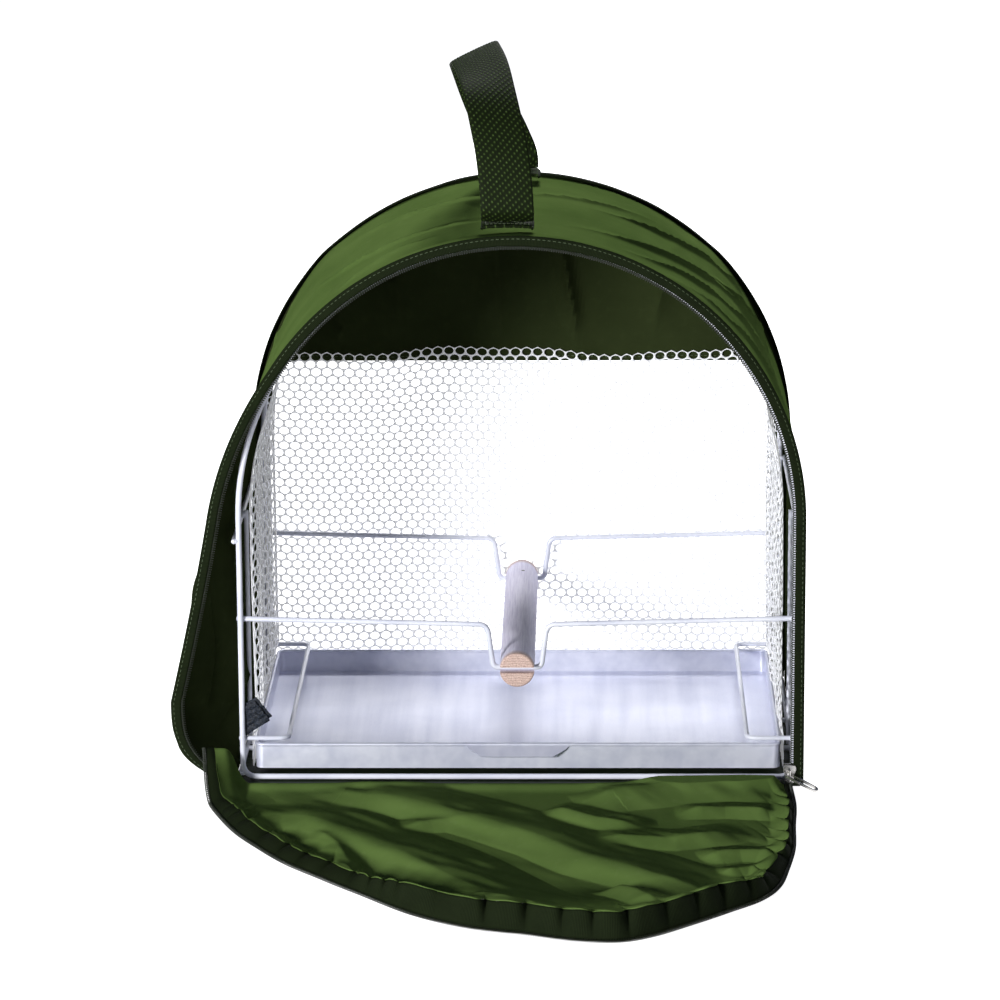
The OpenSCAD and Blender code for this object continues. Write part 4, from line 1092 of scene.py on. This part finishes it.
WEB_W, WEB_T = 33.0, 2.2
DOME_Z = 360.2
HANDLE_ROUTE = ((-5, -96, 0), (-5, -102, 8), (-6, -100, 24), (-8.5, -94, 44), (-12.7, -83, 63),
                (-17, -66, 78), (-21, -42, 87), (-25, -12, 90), (-28, 18, 89), (-28.5, 46, 80),
                (-25, 70, 63), (-18.5, 88, 42), (-10, 98, 22), (-4.8, 102, 8), (-4, 96, 0))
# How far the crest of the handle leans over to the left, in degrees
CREST_TILT = 25.0
WEB_GREEN, WEB_DARK, WEB_FLECK_AND_HIGHLIGHT = "#22300f", "#111907", "#54683a"
webbing = material("polypropylene_webbing", {"Roughness": 0.7, "Specular IOR Level": 0.08})
web_at = add(webbing, "UVMap", {"uv_map": "cloth"})
picks = add(webbing, "TexNoise", {"Scale": 1000 / 1.1, "Detail": 2}, Vector=web_at.outputs["UV"])
fade = add(webbing, "TexNoise", {"Scale": 1000 / 30, "Detail": 2}, Vector=web_at.outputs["UV"])
# The colour follows the floats' height as well as the random picks: raised floats are painted lighter,
# a painted highlight, and the hollows between them darker, a painted shade.
crown_of = add(webbing, "Attribute", {"attribute_name": "crown"})
mixed_in = add(webbing, "Mix", {"data_type": "FLOAT", 0: 0.35}, _2=crown_of.outputs["Fac"],
               _3=picks.outputs["Fac"])
tint = two_tone(webbing, mixed_in.outputs[0], (0.3, WEB_DARK), (0.85, WEB_FLECK_AND_HIGHLIGHT))
mid_tone = tint.color_ramp.elements.new(0.62)
mid_tone.color = linear(WEB_GREEN)
relief = add(webbing, "Bump", {"Strength": 0.3, "Distance": 0.0003}, Height=picks.outputs["Fac"])
finish_surface(webbing, Base_Color=tint.outputs["Color"], Normal=relief.outputs["Normal"])


WEAVE_ACROSS, WEAVE_ALONG = 3.7, 4.6


def crown_height(along, across, half):
    """Relief of the webbing, 0 to 1: short slanted floats, staggered from row to row."""
    column = (across + half) / WEAVE_ACROSS
    row = along / WEAVE_ALONG + 0.3 * column
    return np.clip(np.cos(2 * np.pi * column) * np.cos(2 * np.pi * row), 0, 1) ** 0.7


def web_strap(name, route, sides, width, thickness, bow=0.0):
    """Woven strap along a route, with rounded selvedges and relief on both faces."""
    n_across = 58
    a = np.linspace(-width / 2, width / 2, n_across)
    step = np.linalg.norm(np.diff(route, axis=0), axis=1)
    run = np.concatenate([[0], step.cumsum()])
    relief_top = crown_height(run[:, None], a[None, :], width / 2)
    lens_ = thickness / 2 * (1 - np.abs(2 * a / width) ** 8) ** 0.5
    top = lens_[None] * (0.72 + 0.28 * relief_top) + bow * (1 - (2 * a / width) ** 2)[None]
    low = -lens_[None] * (0.72 + 0.28 * relief_top) + bow * (1 - (2 * a / width) ** 2)[None]
    ring = np.concatenate([np.stack([np.broadcast_to(a, top.shape), top], -1),
                           np.stack([np.broadcast_to(a[::-1], top.shape), low[:, ::-1]], -1)[:, 1:-1]],
                          axis=1)
    points = sweep(route, ring, side=sides)
    n = ring.shape[1]
    around = np.concatenate([a, a[::-1][1:-1]])
    uv = np.stack([np.broadcast_to(run[:, None], ring.shape[:2]),
                   np.broadcast_to(around[None], ring.shape[:2])], -1)
    faces = tube_faces(len(route), n)
    caps = []
    for base, flip in ((0, False), ((len(route) - 1) * n, True)):
        for k in range(n // 2 - 1):
            quad = [base + k, base + k + 1, base + (n - k - 2) % n, base + (n - k - 1) % n]
            caps.append(quad if flip else quad[::-1])
    piece = put_mesh(name, points.reshape(-1, 3), np.concatenate([faces, np.array(caps)]),
                     webbing, uv=uv.reshape(-1, 2) / 1000)
    crown = np.concatenate([relief_top, relief_top[:, ::-1][:, 1:-1]], axis=1)
    layer = piece.data.attributes.new("crown", "FLOAT", "POINT")
    layer.data.foreach_set("value", crown.astype(np.float32).ravel())
    return piece


route = smooth_route(HANDLE_ROUTE, 0.55) + (0, 0, DOME_Z)
way = np.linspace(0, 1, len(route))
tilt = np.radians(CREST_TILT) * np.exp(-((way - 0.5) / 0.17) ** 4)
lean_side = np.stack([np.cos(tilt), 0.12 * np.sin(np.pi * way), np.sin(tilt)], -1)
handle = web_strap("handle_webbing", route, lean_side, WEB_W, WEB_T, bow=0.5)
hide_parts("handle_strap")
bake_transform(handle)

# Stitched ends of the webbing, curved over the dome, with a box and cross of thread.
PATCH_L, PATCH_Y = 24.0, 107.0
for side, name in ((-1, "front"), (1, "rear")):
    a = np.linspace(-1, 1, 45)
    y = side * (PATCH_Y - PATCH_L * np.linspace(0, 1, 50))
    span = np.radians(WEB_W / 2 / 182.3 * 57.3)
    ring_r = 357.6 - SPRING_Z
    low_by = 1.2 if side > 0 else 0.0
    foot_x = HANDLE_ROUTE[0][0] if side < 0 else HANDLE_ROUTE[-1][0]
    cols, rows_ = np.meshgrid(a, y)
    relief_at = crown_height(rows_, cols * WEB_W / 2, WEB_W / 2)
    edge_fall = (1 - np.abs(cols) ** 10)
    r = ring_r - low_by + 1.6 * edge_fall ** 0.5 + 0.5 * relief_at
    top = np.stack([foot_x + r * np.sin(cols * span), rows_,
                    SPRING_Z + r * np.cos(cols * span)], -1)
    patch = put_mesh("handle_patch_" + name + "_webbing", top.reshape(-1, 3),
                     grid_faces(50, 45)[:, ::side], webbing,
                     uv=np.stack([rows_, cols * WEB_W / 2], -1).reshape(-1, 2) / 1000)
    layer = patch.data.attributes.new("crown", "FLOAT", "POINT")
    layer.data.foreach_set("value", relief_at.astype(np.float32).ravel())
    thicken(patch, 1.6, -1.0 * side)
    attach(patch, "bag_and_frame")
    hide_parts("handle_patch_" + name)
    near_y, far_y, half = side * 86.0, side * 104.5, 13.5
    box_x = np.array([(-half, near_y), (half, near_y), (half, far_y), (-half, far_y),
                      (-half, near_y), (half, far_y), (-half, far_y), (half, near_y)])
    r = ring_r - low_by + 2.35
    dense = np.concatenate([np.linspace(p, q_, 12, endpoint=False)
                            for p, q_ in zip(box_x[:-1], box_x[1:])])
    lift_z = SPRING_Z + np.sqrt(r ** 2 - dense[:, 0] ** 2)
    stitch_line("handle_patch_" + name + "_stitches",
                np.stack([foot_x + dense[:, 0], dense[:, 1], lift_z], -1), thread, pitch=2.6,
                length=1.9, thick=0.32)


# Tie. Black hook-and-loop tape that passes behind the front left post, its two ribbed ends
# pressed together and slanting up to the right.

TIE_BLACK, TIE_PAINTED_HIGHLIGHT = "#0c1016", "#2e3542"
tie_black = material("hook_and_loop_tape", {"Roughness": 0.5, "Specular IOR Level": 0.25})
place = add(tie_black, "TexCoord", {})
hooks = add(tie_black, "TexNoise", {"Scale": 1000 / 0.9, "Detail": 3}, Vector=place.outputs["Object"])
# The grey specks on the raised hooks are painted highlight, in place of their glints.
tint = two_tone(tie_black, hooks.outputs["Fac"], (0.4, TIE_BLACK), (0.72, TIE_PAINTED_HIGHLIGHT))
relief = add(tie_black, "Bump", {"Strength": 0.8, "Distance": 0.0006}, Height=hooks.outputs["Fac"])
finish_surface(tie_black, Base_Color=tint.outputs["Color"], Normal=relief.outputs["Normal"])
TIE_AT, TIE_W, TIE_L = (-173.4, 41.0), 16.0, 15.5
TIE_RISE = np.radians(36)


def tie_layer(name, length, forward, rise):
    """One layer of the tie: it passes behind the post and slants up beside it."""
    v = np.linspace(-TIE_W / 2, TIE_W / 2, 34)[None, :]
    u0 = v * np.tan(TIE_RISE) - 1.2
    u = u0 + (length - u0) * np.linspace(0, 1, 44)[:, None]
    ribs = 0.45 * np.abs(np.sin(np.pi * (v + 0.6 * noise(u / 9, 0, 90)) / 4.1)) ** 0.7 \
        + 0.25 * noise(u / 1.6, v / 1.3, 91)
    y = -HOOP_Y + 3.6 - forward - 2.6 * ease(u / 12) - 1.6 * ease((u - 9) / 6) - ribs
    worn_end = 0.5 * noise(v / 2.0, u * 0 + forward, 92) * ease((u - length + 3) / 3)
    along_x, along_z = (u + worn_end) * np.cos(TIE_RISE), (u + worn_end) * np.sin(TIE_RISE)
    points = np.stack([TIE_AT[0] + along_x - v * np.sin(TIE_RISE), y,
                       TIE_AT[1] + rise + along_z + v * np.cos(TIE_RISE)], -1)
    piece = put_mesh(name, points.reshape(-1, 3), grid_faces(*y.shape), tie_black)
    thicken(piece, 0.9)
    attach(piece, "bag_and_frame")
    return piece


inner_layer = tie_layer("tie_strap_loops", TIE_L, 0.0, 0.6)
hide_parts("tie_strap")
tie_layer("tie_strap_hooks", TIE_L - 1.2, 1.4, -0.9)
